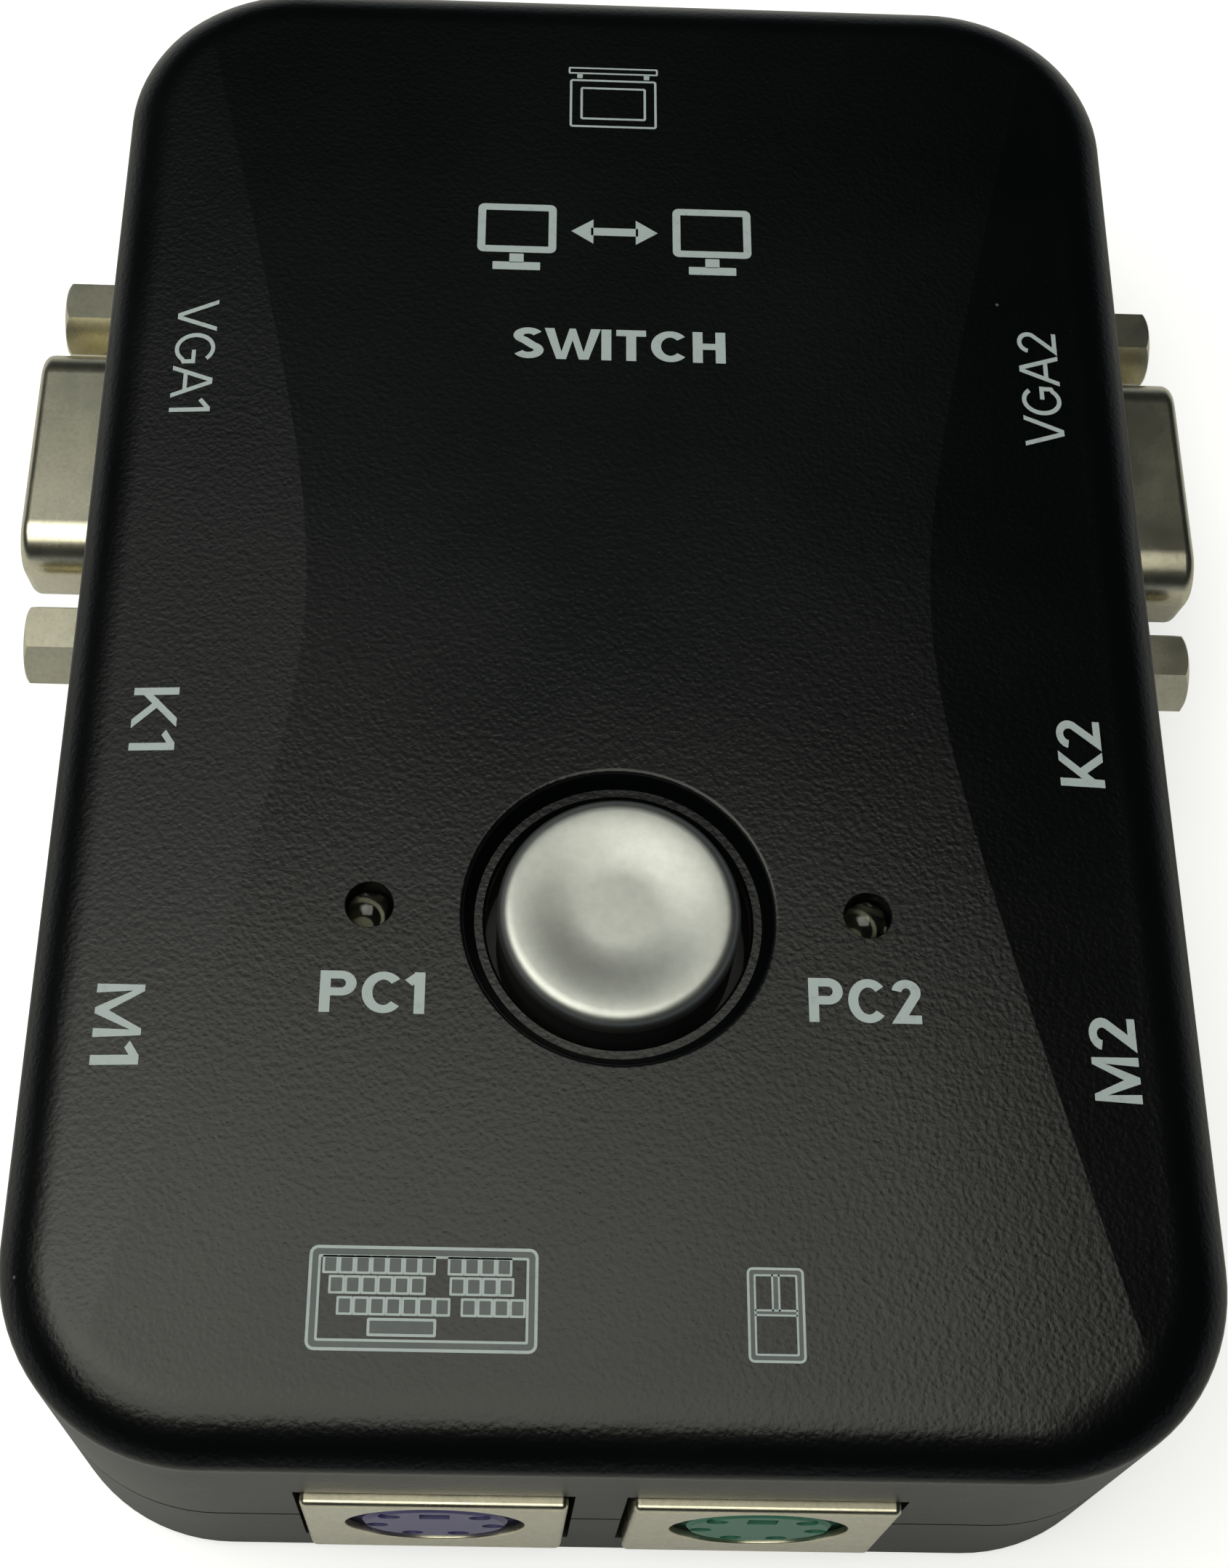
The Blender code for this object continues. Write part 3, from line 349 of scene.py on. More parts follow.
def grain_group():
    """Spark-eroded texture: soft pebbles with finer grit between them."""
    group, start, end = new_group("Moulded Grain", [("Scale", NUMBER, 2000.0)], [("Height", NUMBER)])
    place = object_place(group)
    pebble = add_node(
        group, "ShaderNodeTexVoronoi", {"feature": "SMOOTH_F1"}, Vector=place,
        Scale=start.outputs["Scale"], Smoothness=0.9, Randomness=1.0,
    )
    fine = maths(group, "MULTIPLY", start.outputs["Scale"], 1.7)
    grit = add_node(group, "ShaderNodeTexNoise", Vector=place, Scale=fine, Detail=3.0, Roughness=0.6)
    both = maths(group, "ADD", pebble.outputs["Distance"], grit.outputs["Fac"])
    wire(group, end, Height=maths(group, "MULTIPLY", both, 0.5))
    return group


def smudge_group():
    """Slow variation with a few sharper patches, between two values."""
    group, start, end = new_group(
        "Handling Smudges", [("Scale", NUMBER, 60.0), ("Low", NUMBER, 0.4), ("High", NUMBER, 0.55)],
        [("Value", NUMBER), ("Mask", NUMBER)],
    )
    place = object_place(group)
    slow = add_node(
        group, "ShaderNodeTexNoise", Vector=place, Scale=start.outputs["Scale"], Detail=4.0,
        Roughness=0.55, Distortion=0.2,
    )
    mask = ranged(group, slow.outputs["Fac"], 0.28, 0.74)
    spread = maths(group, "SUBTRACT", start.outputs["High"], start.outputs["Low"])
    value = maths(group, "ADD", start.outputs["Low"], maths(group, "MULTIPLY", spread, mask))
    wire(group, end, Value=value, Mask=mask)
    return group


def dust_group():
    """Sparse small specks. Amount is the share of the cells that hold one."""
    group, start, end = new_group(
        "Dust Specks", [("Scale", NUMBER, 420.0), ("Amount", NUMBER, 0.05), ("Size", NUMBER, 0.12)],
        [("Mask", NUMBER)],
    )
    cells = add_node(
        group, "ShaderNodeTexVoronoi", Vector=object_place(group), Scale=start.outputs["Scale"],
        Randomness=1.0,
    )
    tone = add_node(group, "ShaderNodeSeparateColor", Color=cells.outputs["Color"])
    chosen = maths(group, "LESS_THAN", tone.outputs[0], start.outputs["Amount"])
    size = maths(group, "MULTIPLY", start.outputs["Size"], maths(group, "ADD", tone.outputs[1], 0.4))
    near = maths(group, "LESS_THAN", cells.outputs["Distance"], size)
    wire(group, end, Mask=maths(group, "MULTIPLY", chosen, near))
    return group


def brushed_group():
    """Fine lines along one direction, as a height and as a tone."""
    group, start, end = new_group(
        "Rolled Lines", [("Stretch", "NodeSocketVector", (1.0, 1.0, 1.0))],
        [("Height", NUMBER), ("Tone", NUMBER)],
    )
    scaled = add_node(group, "ShaderNodeVectorMath", {"operation": "MULTIPLY"})
    feed(group, scaled.inputs[0], object_place(group))
    feed(group, scaled.inputs[1], start.outputs["Stretch"])
    lines = add_node(
        group, "ShaderNodeTexNoise", Vector=scaled.outputs[0], Scale=1.0, Detail=4.0, Roughness=0.65,
    )
    height = lines.outputs["Fac"]
    wire(group, end, Height=height, Tone=ranged(group, height, 0.3, 0.7))
    return group


GROUPS = {
    "Moulded Grain": grain_group, "Handling Smudges": smudge_group, "Dust Specks": dust_group,
    "Rolled Lines": brushed_group,
}


def use_group(tree, name, **inputs):
    """A node of a shared group, which is made the first time it is asked for."""
    node = tree.nodes.new("ShaderNodeGroup")
    node.node_tree = bpy.data.node_groups.get(name) or GROUPS[name]()
    return wire(tree, node, **inputs)


def blank_material(name):
    material = bpy.data.materials.new(name)
    material.use_nodes = True
    return material, material.node_tree, material.node_tree.nodes["Principled BSDF"]


def uneven_gloss(tree, shader, scale, low, high):
    """Roughness that wanders between two values. Returns the mask it follows."""
    smudge = use_group(tree, "Handling Smudges", Scale=scale, Low=low, High=high)
    wire(tree, shader, Roughness=smudge.outputs["Value"])
    return smudge.outputs["Mask"]


def bumped(tree, shader, height, distance):
    bump = add_node(tree, "ShaderNodeBump", Height=height, Distance=distance, Strength=1.0)
    wire(tree, shader, Normal=bump.outputs["Normal"])


def tinted(colour, amount):
    return tuple(channel * amount for channel in colour)


def plastic(name, colour, rough, grain=2000.0, depth=0.02 * MM, dust=0.015, gloss=0.5, walls=0.0):
    """Moulded plastic: grain, handling marks in the gloss, and dust.

    walls is how much rougher it is below the rounded rim of the case.
    """
    material, tree, shader = blank_material(name)
    smudge = use_group(tree, "Handling Smudges", Scale=55.0, Low=rough[0], High=rough[1])
    height = add_node(tree, "ShaderNodeSeparateXYZ", Vector=object_place(tree)).outputs["Z"]
    rim = CASE_TOP + ORIGIN.z - RIM_FOOT
    rougher = ranged(tree, height, rim - RIM_FADE, rim + RIM_FADE, walls, 0.0)
    body = blended(tree, smudge.outputs["Mask"], colour, tinted(colour, 1.25))
    specks = use_group(tree, "Dust Specks", Amount=dust, Size=0.045)
    wire(
        tree, shader, Roughness=maths(tree, "ADD", smudge.outputs["Value"], rougher),
        Base_Color=blended(tree, specks.outputs["Mask"], body, DUST_COLOUR),
        Specular_IOR_Level=gloss,
    )
    pebbles = use_group(tree, "Moulded Grain", Scale=grain)
    bumped(tree, shader, pebbles.outputs["Height"], depth)
    return material


def metal(name, colour, stain, rough, stretch=(1100.0, 220.0, 1100.0), depth=0.004 * MM, pits=0.5):
    """Bare or plated metal: rolled lines, dull patches, a faint stain and small pits."""
    material, tree, shader = blank_material(name)
    dull = uneven_gloss(tree, shader, 330.0, *rough)
    lines = use_group(tree, "Rolled Lines", Stretch=stretch)
    body = blended(tree, dull, colour, stain)
    darker = tinted(colour, 0.7)
    body = blended(tree, maths(tree, "MULTIPLY", lines.outputs["Tone"], 0.35), body, darker)
    fine = add_node(
        tree, "ShaderNodeTexNoise", Vector=object_place(tree), Scale=3600.0, Detail=2.0, Roughness=0.6,
    )
    spots = ranged(tree, fine.outputs["Fac"], 0.45, 0.7, 0.0, pits)
    wire(tree, shader, Metallic=1.0, Base_Color=blended(tree, spots, body, darker))
    bumped(tree, shader, lines.outputs["Height"], depth)
    return material


def printed_ink(name, colour):
    """Pad-printed ink: slightly thin in places, over the grain of the plastic."""
    material, tree, shader = blank_material(name)
    thin = add_node(
        tree, "ShaderNodeTexNoise", Vector=object_place(tree), Scale=1500.0, Detail=4.0, Roughness=0.7,
    )
    mask = ranged(tree, thin.outputs["Fac"], 0.55, 0.8, 0.0, 0.55)
    wire(tree, shader, Base_Color=blended(tree, mask, colour, tinted(colour, 0.5)))
    uneven_gloss(tree, shader, 200.0, 0.42, 0.6)
    pebbles = use_group(tree, "Moulded Grain", Scale=2000.0)
    bumped(tree, shader, pebbles.outputs["Height"], 0.012 * MM)
    return material


def clear_resin(name):
    """Water-clear cast resin with a faint haze."""
    material, tree, shader = blank_material(name)
    haze = uneven_gloss(tree, shader, 700.0, 0.08, 0.2)
    tint = blended(tree, haze, (0.82, 0.82, 0.76), (0.7, 0.7, 0.64))
    wire(tree, shader, Base_Color=tint, Transmission_Weight=1.0, IOR=1.53)
    return material


def solder_mask(name, colour):
    """Circuit board: green mask with the raised tracks showing through it."""
    material, tree, shader = blank_material(name)
    tracks = add_node(
        tree, "ShaderNodeTexBrick", {"offset": 0.37, "squash": 0.6, "squash_frequency": 3},
        Vector=object_place(tree), Scale=260.0, Mortar_Size=0.06, Mortar_Smooth=0.2, Bias=0.0,
        Brick_Width=2.4, Row_Height=0.42,
    )
    body = blended(tree, tracks.outputs["Fac"], colour, tinted(colour, 1.7))
    specks = use_group(tree, "Dust Specks", Scale=330.0, Amount=0.06, Size=0.28)
    wire(tree, shader, Base_Color=blended(tree, specks.outputs["Mask"], body, (0.62, 0.6, 0.56)))
    uneven_gloss(tree, shader, 90.0, 0.25, 0.4)
    bumped(tree, shader, tracks.outputs["Fac"], 0.03 * MM)
    return material


# Plastics by name: colour, roughness from and to, grain and its depth
PLASTICS = {
    "sleeve_rubber": ((0.03, 0.03, 0.03), (0.75, 0.9), 1500.0, 0.03 * MM),
    "chip_epoxy": ((0.018, 0.018, 0.02), (0.5, 0.65), 3000.0, 0.01 * MM),
    "stand_nylon": ((0.62, 0.6, 0.55), (0.4, 0.55), 1800.0, 0.01 * MM),
    # The switch plastic also covers the push button's side down in its hole, as painted shade there.
    "switch_plastic": ((0.02, 0.02, 0.022), (0.35, 0.5), 2400.0, 0.01 * MM),
}
# Metals by name: colour, stain, roughness from and to
METALS = {
    "screw_steel": ((0.42, 0.41, 0.4), (0.25, 0.22, 0.18), (0.25, 0.45)),
    # The lamp frame's dark grey-olive colour and stain are painted shade: the frame is darkened so that
    # the inside of each lamp looks as dark as it does down in its hole.
    "lamp_frame": ((0.11, 0.11, 0.09), (0.07, 0.07, 0.05), (0.3, 0.5)),
    "can_metal": ((0.7, 0.71, 0.72), (0.55, 0.55, 0.55), (0.18, 0.35)),
    "spring_wire": ((0.55, 0.54, 0.52), (0.4, 0.38, 0.35), (0.2, 0.35)),
}


def finish(name):
    """The material of that name, made the first time it is asked for."""
    known = bpy.data.materials.get(name)
    if known:
        return known
    if name in PLASTICS:
        return plastic(name, *PLASTICS[name])
    if name in METALS:
        return metal(name, *METALS[name])
    paint = bpy.context.scene.switch_finish
    if name.endswith("_core"):
        colour = getattr(paint, name.removesuffix("_core"))
        return plastic(name, tuple(colour), (0.35, 0.5), 2600.0, 0.01 * MM)
    makers = {
        "case_plastic": lambda: plastic(
            name, tuple(paint.case), (0.2, 0.27), grain=3300.0, depth=0.023 * MM, dust=0.11,
            gloss=0.36, walls=0.2,
        ),
        "printed_ink": lambda: printed_ink(name, tuple(paint.ink)),
        "thin_ink": lambda: printed_ink(name, tinted(paint.ink, 0.22)),
        "nickel_plate": lambda: metal(
            name, tuple(paint.nickel), (0.66, 0.62, 0.48), (0.24, 0.31), depth=0.002 * MM,
        ),
        "button_satin": lambda: metal(
            name, tuple(paint.button), (0.48, 0.49, 0.47), (0.38, 0.44),
            stretch=(1500.0, 1500.0, 1500.0), pits=0.1,
        ),
        "clear_resin": lambda: clear_resin(name),
        "board_mask": lambda: solder_mask(name, tuple(paint.board)),
    }
    return makers[name]()


# ---------------------------------------------------------------- working shapes

def mesh_of(bm, name="working"):
    mesh = bpy.data.meshes.new(name)
    bm.to_mesh(mesh)
    bm.free()
    return mesh


def add_object(name, data):
    obj = bpy.data.objects.new(name, data)
    bpy.context.scene.collection.objects.link(obj)
    return obj


def evaluated(*objects):
    """What the first object's modifiers give, as a new bmesh. All the objects are removed."""
    depsgraph = bpy.context.evaluated_depsgraph_get()
    depsgraph.update()
    mesh = bpy.data.meshes.new_from_object(objects[0].evaluated_get(depsgraph))
    bm = bmesh.new()
    bm.from_mesh(mesh)
    bpy.data.meshes.remove(mesh)
    for obj in objects:
        bpy.data.objects.remove(obj, do_unlink=True)
    return bm


def combined(first, second, operation="DIFFERENCE"):
    """One closed shape cut by another, joined to it or kept only inside it."""
    target, tool = add_object("target", mesh_of(first)), add_object("tool", mesh_of(second))
    modifier = target.modifiers.new("combine", "BOOLEAN")
    modifier.operation = operation
    modifier.object = tool
    modifier.solver = "EXACT"
    return evaluated(target, tool)


def thickened(bm, thickness):
    target = add_object("target", mesh_of(bm))
    solidify = target.modifiers.new("wall", "SOLIDIFY")
    solidify.thickness = thickness
    solidify.offset = -1.0
    solidify.use_even_offset = True
    return evaluated(target)


def append(bm, other):
    """Adds another shape to bm."""
    mesh = mesh_of(other)
    bm.from_mesh(mesh)
    bpy.data.meshes.remove(mesh)


def add_piece(name, bm, material, body, *nodes, place=None, crease_test=None, lower=None):
    """Finishes a shape as a visible piece that rides on a body and stands for CAD nodes.

    lower is (height, material): faces that lie below that height have the other finish.
    """
    bmesh.ops.transform(bm, matrix=Matrix.Translation(ORIGIN) @ (place or Matrix()), verts=bm.verts)
    limit = math.radians(30.0)
    for edge in bm.edges:
        turned_far = len(edge.link_faces) != 2 or edge.calc_face_angle(math.pi) > limit
        edge.smooth = not (turned_far or (crease_test is not None and crease_test(edge)))
    for face in bm.faces:
        face.smooth = True
        if lower and face.calc_center_median().z < lower[0] + ORIGIN.z:
            face.material_index = 1
    obj = add_object(name, mesh_of(bm, name))
    obj.data.materials.append(finish(material))
    if lower:
        obj.data.materials.append(finish(lower[1]))
    even = obj.modifiers.new("even_shading", "WEIGHTED_NORMAL")
    even.keep_sharp = True
    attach(obj, body)
    if nodes:
        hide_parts(*nodes)
    return obj


def dress(material, *nodes):
    """Gives CAD nodes that stay their finish."""
    for node in nodes:
        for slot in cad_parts[node].material_slots:
            slot.material = finish(material)


def add_box(bm, low, high):
    size = Vector(high) - Vector(low)
    middle = (Vector(high) + Vector(low)) / 2
    matrix = Matrix.Translation(middle) @ Matrix.Diagonal((*size, 1.0))
    return bmesh.ops.create_cube(bm, size=1.0, matrix=matrix)["verts"]


def add_cylinder(bm, radius, low, high, x=0.0, y=0.0, segments=48):
    """An upright cylinder between two heights."""
    bmesh.ops.create_cone(
        bm, cap_ends=True, segments=segments, radius1=radius, radius2=radius, depth=high - low,
        matrix=Matrix.Translation((x, y, (low + high) / 2)),
    )


def add_rod(bm, radius, near, far, x=0.0, z=0.0, segments=32, turn=0.0):
    """A cylinder that lies along Y, from near to far."""
    matrix = Matrix.Translation((x, (near + far) / 2, z)) @ Matrix.Rotation(math.pi / 2, 4, "X")
    bmesh.ops.create_cone(
        bm, cap_ends=True, segments=segments, radius1=radius, radius2=radius, depth=far - near,
        matrix=matrix @ Matrix.Rotation(turn, 4, "Z"),
    )


def add_turned(bm, profile, x=0.0, y=0.0, segments=64, close=False):
    """A turned solid on an upright axis, from (radius, height) points."""
    verts = [bm.verts.new((x + radius, y, height)) for radius, height in profile]
    edges = [bm.edges.new(pair) for pair in zip(verts, verts[1:])]
    if close:
        edges.append(bm.edges.new((verts[-1], verts[0])))
    bmesh.ops.spin(
        bm, geom=verts + edges, cent=(x, y, 0.0), axis=(0.0, 0.0, 1.0), dvec=(0.0, 0.0, 0.0),
        angle=2 * math.pi, steps=segments, use_merge=True, use_duplicate=False,
    )
    bmesh.ops.remove_doubles(bm, verts=bm.verts, dist=0.000001)
    bmesh.ops.recalc_face_normals(bm, faces=bm.faces)


def turned(profile, x=0.0, y=0.0, segments=64, close=False):
    bm = bmesh.new()
    add_turned(bm, profile, x, y, segments, close)
    return bm


def lying(bm, x=0.0, z=0.0):
    """Lays a turned shape down, so that what pointed up points to the front (-Y)."""
    matrix = Matrix.Translation((x, 0.0, z)) @ Matrix.Rotation(math.pi / 2, 4, "X")
    bmesh.ops.transform(bm, matrix=matrix, verts=bm.verts)
    return bm


def arc(centre_r, centre_z, radius, start, end, steps):
    """Profile points on an arc, with the angles in degrees from the outward direction."""
    angles = [math.radians(start + (end - start) * i / steps) for i in range(steps + 1)]
    return [(centre_r + radius * math.cos(a), centre_z + radius * math.sin(a)) for a in angles]


def rounded_outline(corners, radius, steps=8):
    """A polygon's outline with each corner turned into an arc. Corners run anticlockwise."""
    points = []
    count = len(corners)
    for i, corner in enumerate(corners):
        corner = Vector(corner)
        back = (Vector(corners[i - 1]) - corner).normalized()
        ahead = (Vector(corners[(i + 1) % count]) - corner).normalized()
        half_angle = back.angle(ahead) / 2
        middle = corner + (back + ahead).normalized() * radius / math.sin(half_angle)
        start = corner + back * radius / math.tan(half_angle) - middle
        sweep = math.pi - 2 * half_angle
        for step in range(steps + 1):
            points.append(middle + Matrix.Rotation(sweep * step / steps, 2) @ start)
    return points


def rectangle(half_x, half_y, x=0.0, y=0.0):
    return [
        (x - half_x, y - half_y), (x + half_x, y - half_y),
        (x + half_x, y + half_y), (x - half_x, y + half_y),
    ]


def add_ring(bm, points):
    verts = [bm.verts.new(point) for point in points]
    edges = [bm.edges.new((verts[i - 1], verts[i])) for i in range(len(verts))]
    return verts, edges


def add_loft(bm, rings, caps=False):
    """Skin between rings of matching points, each to the next. Returns each ring's vertices."""
    made = [add_ring(bm, points) for points in rings]
    for (_, lower), (_, upper) in zip(made, made[1:]):
        bmesh.ops.bridge_loops(bm, edges=lower + upper)
    if caps:
        bm.faces.new(made[0][0])
        bm.faces.new(made[-1][0])
        bmesh.ops.recalc_face_normals(bm, faces=bm.faces)
    return [verts for verts, _ in made]


def at_height(outline, height):
    return [(point[0], point[1], height) for point in outline]


def slab(outline, low, high):
    """A solid with that outline from above, between two heights."""
    bm = bmesh.new()
    add_loft(bm, [at_height(outline, low), at_height(outline, high)], caps=True)
    return bm


def across(outline, y):
    """An outline drawn in X and Z, stood up at y."""
    return [(point[0], y, point[1]) for point in outline]


def four_corners(x, y):
    return [(sign_x * x, sign_y * y) for sign_x in (-1, 1) for sign_y in (-1, 1)]


def socket_place(x, y, height, turn):
    return Matrix.Translation((x, y, height)) @ Matrix.Rotation(turn, 4, "Z")


# ---------------------------------------------------------------- case shapes

def case_outline(inset):
    """The case seen from above, moved in by inset. Point i lies beside point i of any inset."""
    half_x = CASE_WIDTH / 2 - CORNER_RADIUS
    half_y = CASE_LENGTH / 2 - CORNER_RADIUS
    radius = CORNER_RADIUS - inset
    points = []
    for quarter, (sign_x, sign_y) in enumerate(((1, 1), (-1, 1), (-1, -1), (1, -1))):
        for step in range(CORNER_STEPS + 1):
            angle = (quarter + step / CORNER_STEPS) * math.pi / 2
            corner = Vector((sign_x * half_x, sign_y * half_y))
            points.append(corner + radius * Vector((math.cos(angle), math.sin(angle))))
        if sign_x == -sign_y:
            start = points[-1]
            run = Vector((0.0, -2 * sign_y * half_y))
            points += [start + run * step / SIDE_STEPS for step in range(1, SIDE_STEPS)]
    return points


def crease(y):
    """Half the width of the flat top at y: narrow at the waist, wider towards both ends."""
    return WAIST_HALF + WAIST_FLARE * (math.hypot(y, WAIST_BLEND) - WAIST_BLEND)


def top_height(x, y):
    """Height of the top surface: flat inside the crease, sloping down outside it."""
    outside = max(0.0, abs(x) - crease(y))
    return CASE_TOP - outside * math.tan(bpy.context.scene.switch_shape.side_slope)


def on_crease(edge):
    """True for an edge along the line where the flat top meets a sloping side."""
    for vert in edge.verts:
        point = vert.co - ORIGIN
        if abs(abs(point.x) - crease(point.y)) > 0.03 * MM or point.z < CASE_TOP - 0.02 * MM:
            return False
    return True


def rim_profile():
    """Inset and lift of the rounded rim, from the wall to the top: a tight arc, then a wide one."""
    shape = bpy.context.scene.switch_shape
    points, tilt = [(0.0, 0.0)], math.pi / 2
    for radius, end, steps in ((shape.edge_radius, RIM_CHANGE, 6), (shape.rim_radius, 0.0, 10)):
        start, (inset, lift) = tilt, points[-1]
        for step in range(1, steps + 1):
            tilt = start + (end - start) * step / steps
            points.append((
                inset + radius * (math.sin(start) - math.sin(tilt)),
                lift + radius * (math.cos(tilt) - math.cos(start)),
            ))
    return points


def top_skin():
    """The outside of the top shell: walls, rounded rim, sloping sides and the flat top."""
    bm = bmesh.new()
    profile = rim_profile()
    reach, rise = profile[-1]
    inner = case_outline(reach + RIM_BAND)
    heights = [top_height(*point) for point in case_outline(reach)]
    rings = [at_height(case_outline(0.0), SEAM + GAP / 2)]
    for inset, lift in profile:
        outline = case_outline(inset)
        rings.append([(x, y, height - rise + lift) for (x, y), height in zip(outline, heights)])
    rings.append([(x, y, top_height(x, y)) for x, y in inner])
    rim = add_loft(bm, rings)[-1]

    # Walk round the rim. Where it lies outside the crease, the flat top's edge is the crease
    edge = []
    for point, vert in zip(inner, rim):
        if abs(point.x) > crease(point.y):
            x = math.copysign(crease(point.y), point.x)
            edge.append(bm.verts.new((x, point.y, CASE_TOP)))
        else:
            edge.append(vert)
    for i in range(len(rim)):
        corners = list(dict.fromkeys([rim[i - 1], rim[i], edge[i], edge[i - 1]]))
        if len(corners) > 2:
            bm.faces.new(corners)
    bm.faces.new(edge)
    bmesh.ops.recalc_face_normals(bm, faces=bm.faces)
    return bm


def wall_openings():
    """A block through the wall at each socket's place, as wide as the socket and its clearance."""
    bm = bmesh.new()
    reach = 2 * WALL
    half_height = FLANGE_HEIGHT / 2 + DIN_CLEARANCE
    half_width = FLANGE_WIDTH / 2 + DIN_CLEARANCE
    for x, y, turn in VIDEO_PLACES.values():
        verts = add_box(bm, (-half_width, -reach, -half_height), (half_width, reach, half_height))
        bmesh.ops.transform(bm, matrix=socket_place(x, y, VIDEO_HEIGHT, turn), verts=verts)
    half_width = DIN_WIDTH / 2 + DIN_CLEARANCE
    for _, x, y, turn in DIN_PLACES.values():
        top = DIN_HEIGHT + DIN_CLEARANCE
        verts = add_box(bm, (-half_width, -reach, -DIN_CLEARANCE), (half_width, reach, top))
        bmesh.ops.transform(bm, matrix=socket_place(x, y, BOARD_TOP, turn), verts=verts)
    return bm


def top_shell():
    shell = thickened(top_skin(), WALL)

    posts = bmesh.new()
    for x, y in four_corners(POST_X, POST_Y):
        add_cylinder(posts, POST_RADIUS, POST_SPLIT, CASE_TOP - WALL / 2, x, y)
    roof = CASE_TOP - RECESS_DEPTH - GAP / 2
    add_cylinder(posts, SLEEVE_RADIUS, SLEEVE_BOTTOM, roof, 0.0, BUTTON_Y, segments=96)
    shell = combined(shell, posts, "UNION")

    # The recess round the button: a softened outer edge, a slope, a floor and the hole
    above, below = CASE_TOP + 2 * MM, SLEEVE_BOTTOM - 2 * MM
    floor = CASE_TOP - RECESS_DEPTH
    soft = 0.35 * MM
    recess = [(0.0, above), (RECESS_RADIUS + soft, above)]
    recess += arc(RECESS_RADIUS + soft, CASE_TOP - soft, soft, 90, 160, 5)
    recess += [
        (RECESS_FLOOR_RADIUS, floor), (BUTTON_HOLE_RADIUS + 0.15 * MM, floor),
        (BUTTON_HOLE_RADIUS, floor - 0.15 * MM), (BUTTON_HOLE_RADIUS, below), (0.0, below),
    ]
    cuts = turned(recess, 0.0, BUTTON_Y, 128)
    edge = 0.06 * MM
    for side in (-1, 1):
        hole = [
            (0.0, above), (LAMP_HOLE_RADIUS + edge, above), (LAMP_HOLE_RADIUS + edge, CASE_TOP),
            (LAMP_HOLE_RADIUS, CASE_TOP - edge), (LAMP_HOLE_RADIUS, CASE_TOP - 2 * WALL),
            (0.0, CASE_TOP - 2 * WALL),
        ]
        add_turned(cuts, hole, side * LAMP_X, LAMP_Y, 48)
    screw_end = SCREW_POCKET_DEPTH + SCREW_LENGTH + GAP
    for x, y in four_corners(POST_X, POST_Y):
        add_cylinder(cuts, SCREW_HOLE_RADIUS, POST_SPLIT - WALL, screw_end, x, y)
    shell = combined(shell, cuts)

    lip_top = SEAM + GAP / 2 + LIP_HEIGHT + GAP
    rebate = slab(case_outline(WALL - LIP_WALL - GAP), SEAM - WALL, lip_top)
    return combined(combined(shell, rebate), wall_openings())


def bottom_shell():
    bm = bmesh.new()
    rings = [at_height(case_outline(0.0), SEAM - GAP / 2)]
    for step in range(6):
        angle = step / 5 * math.pi / 2
        outline = case_outline(BOTTOM_EDGE * (1 - math.cos(angle)))
        rings.append(at_height(outline, BOTTOM_EDGE * (1 - math.sin(angle))))
    bm.faces.new(add_loft(bm, rings)[-1])
    bmesh.ops.recalc_face_normals(bm, faces=bm.faces)
    shell = thickened(bm, WALL)

    inside = bmesh.new()
    for x, y in four_corners(POST_X, POST_Y):
        add_cylinder(inside, BOSS_RADIUS, WALL / 2, POST_SPLIT - GAP, x, y)
    shell = combined(shell, inside, "UNION")

    band = bmesh.new()
    outline = case_outline(WALL - LIP_WALL)
    add_loft(band, [at_height(outline, height) for height in (SEAM - WALL, SEAM + LIP_HEIGHT)])
    bmesh.ops.recalc_face_normals(band, faces=band.faces)
    shell = combined(shell, thickened(band, LIP_WALL - 0.05 * MM), "UNION")

    cuts = bmesh.new()
    above, below = POST_SPLIT + WALL, -WALL
    pocket = [
        (0.0, above), (SCREW_HOLE_RADIUS, above), (SCREW_HOLE_RADIUS, SCREW_POCKET_DEPTH),
        (SCREW_POCKET_RADIUS, SCREW_POCKET_DEPTH), (SCREW_POCKET_RADIUS, 0.25 * MM),
        (SCREW_POCKET_RADIUS + 0.25 * MM, 0.0), (SCREW_POCKET_RADIUS + 0.25 * MM, below),
        (0.0, below),
    ]
    for x, y in four_corners(POST_X, POST_Y):
        add_turned(cuts, pocket, x, y, 48)
    for x, y in four_corners(FOOT_X, FOOT_Y):
        add_cylinder(cuts, FOOT_RADIUS + GAP, below, FOOT_POCKET, x, y)
    return combined(combined(shell, cuts), wall_openings())


# ---------------------------------------------------------------- markings

def draped(bm, x, y, turn=0.0):
    """Lays a flat shape on the top at (x, y), turned, with its own thickness kept."""
    matrix = Matrix.Translation((x, y, 0.0)) @ Matrix.Rotation(math.radians(turn), 4, "Z")
    bmesh.ops.transform(bm, matrix=matrix, verts=bm.verts)
    for vert in bm.verts:
        vert.co.z += top_height(vert.co.x, vert.co.y)
    return bm


def bend(x, y, radius_x, radius_y, start, end, steps=18):
    """Points on an elliptical arc, with the angles in degrees."""
    angles = [math.radians(start + (end - start) * i / steps) for i in range(steps + 1)]
    return [(x + radius_x * math.cos(a), y + radius_y * math.sin(a)) for a in angles]


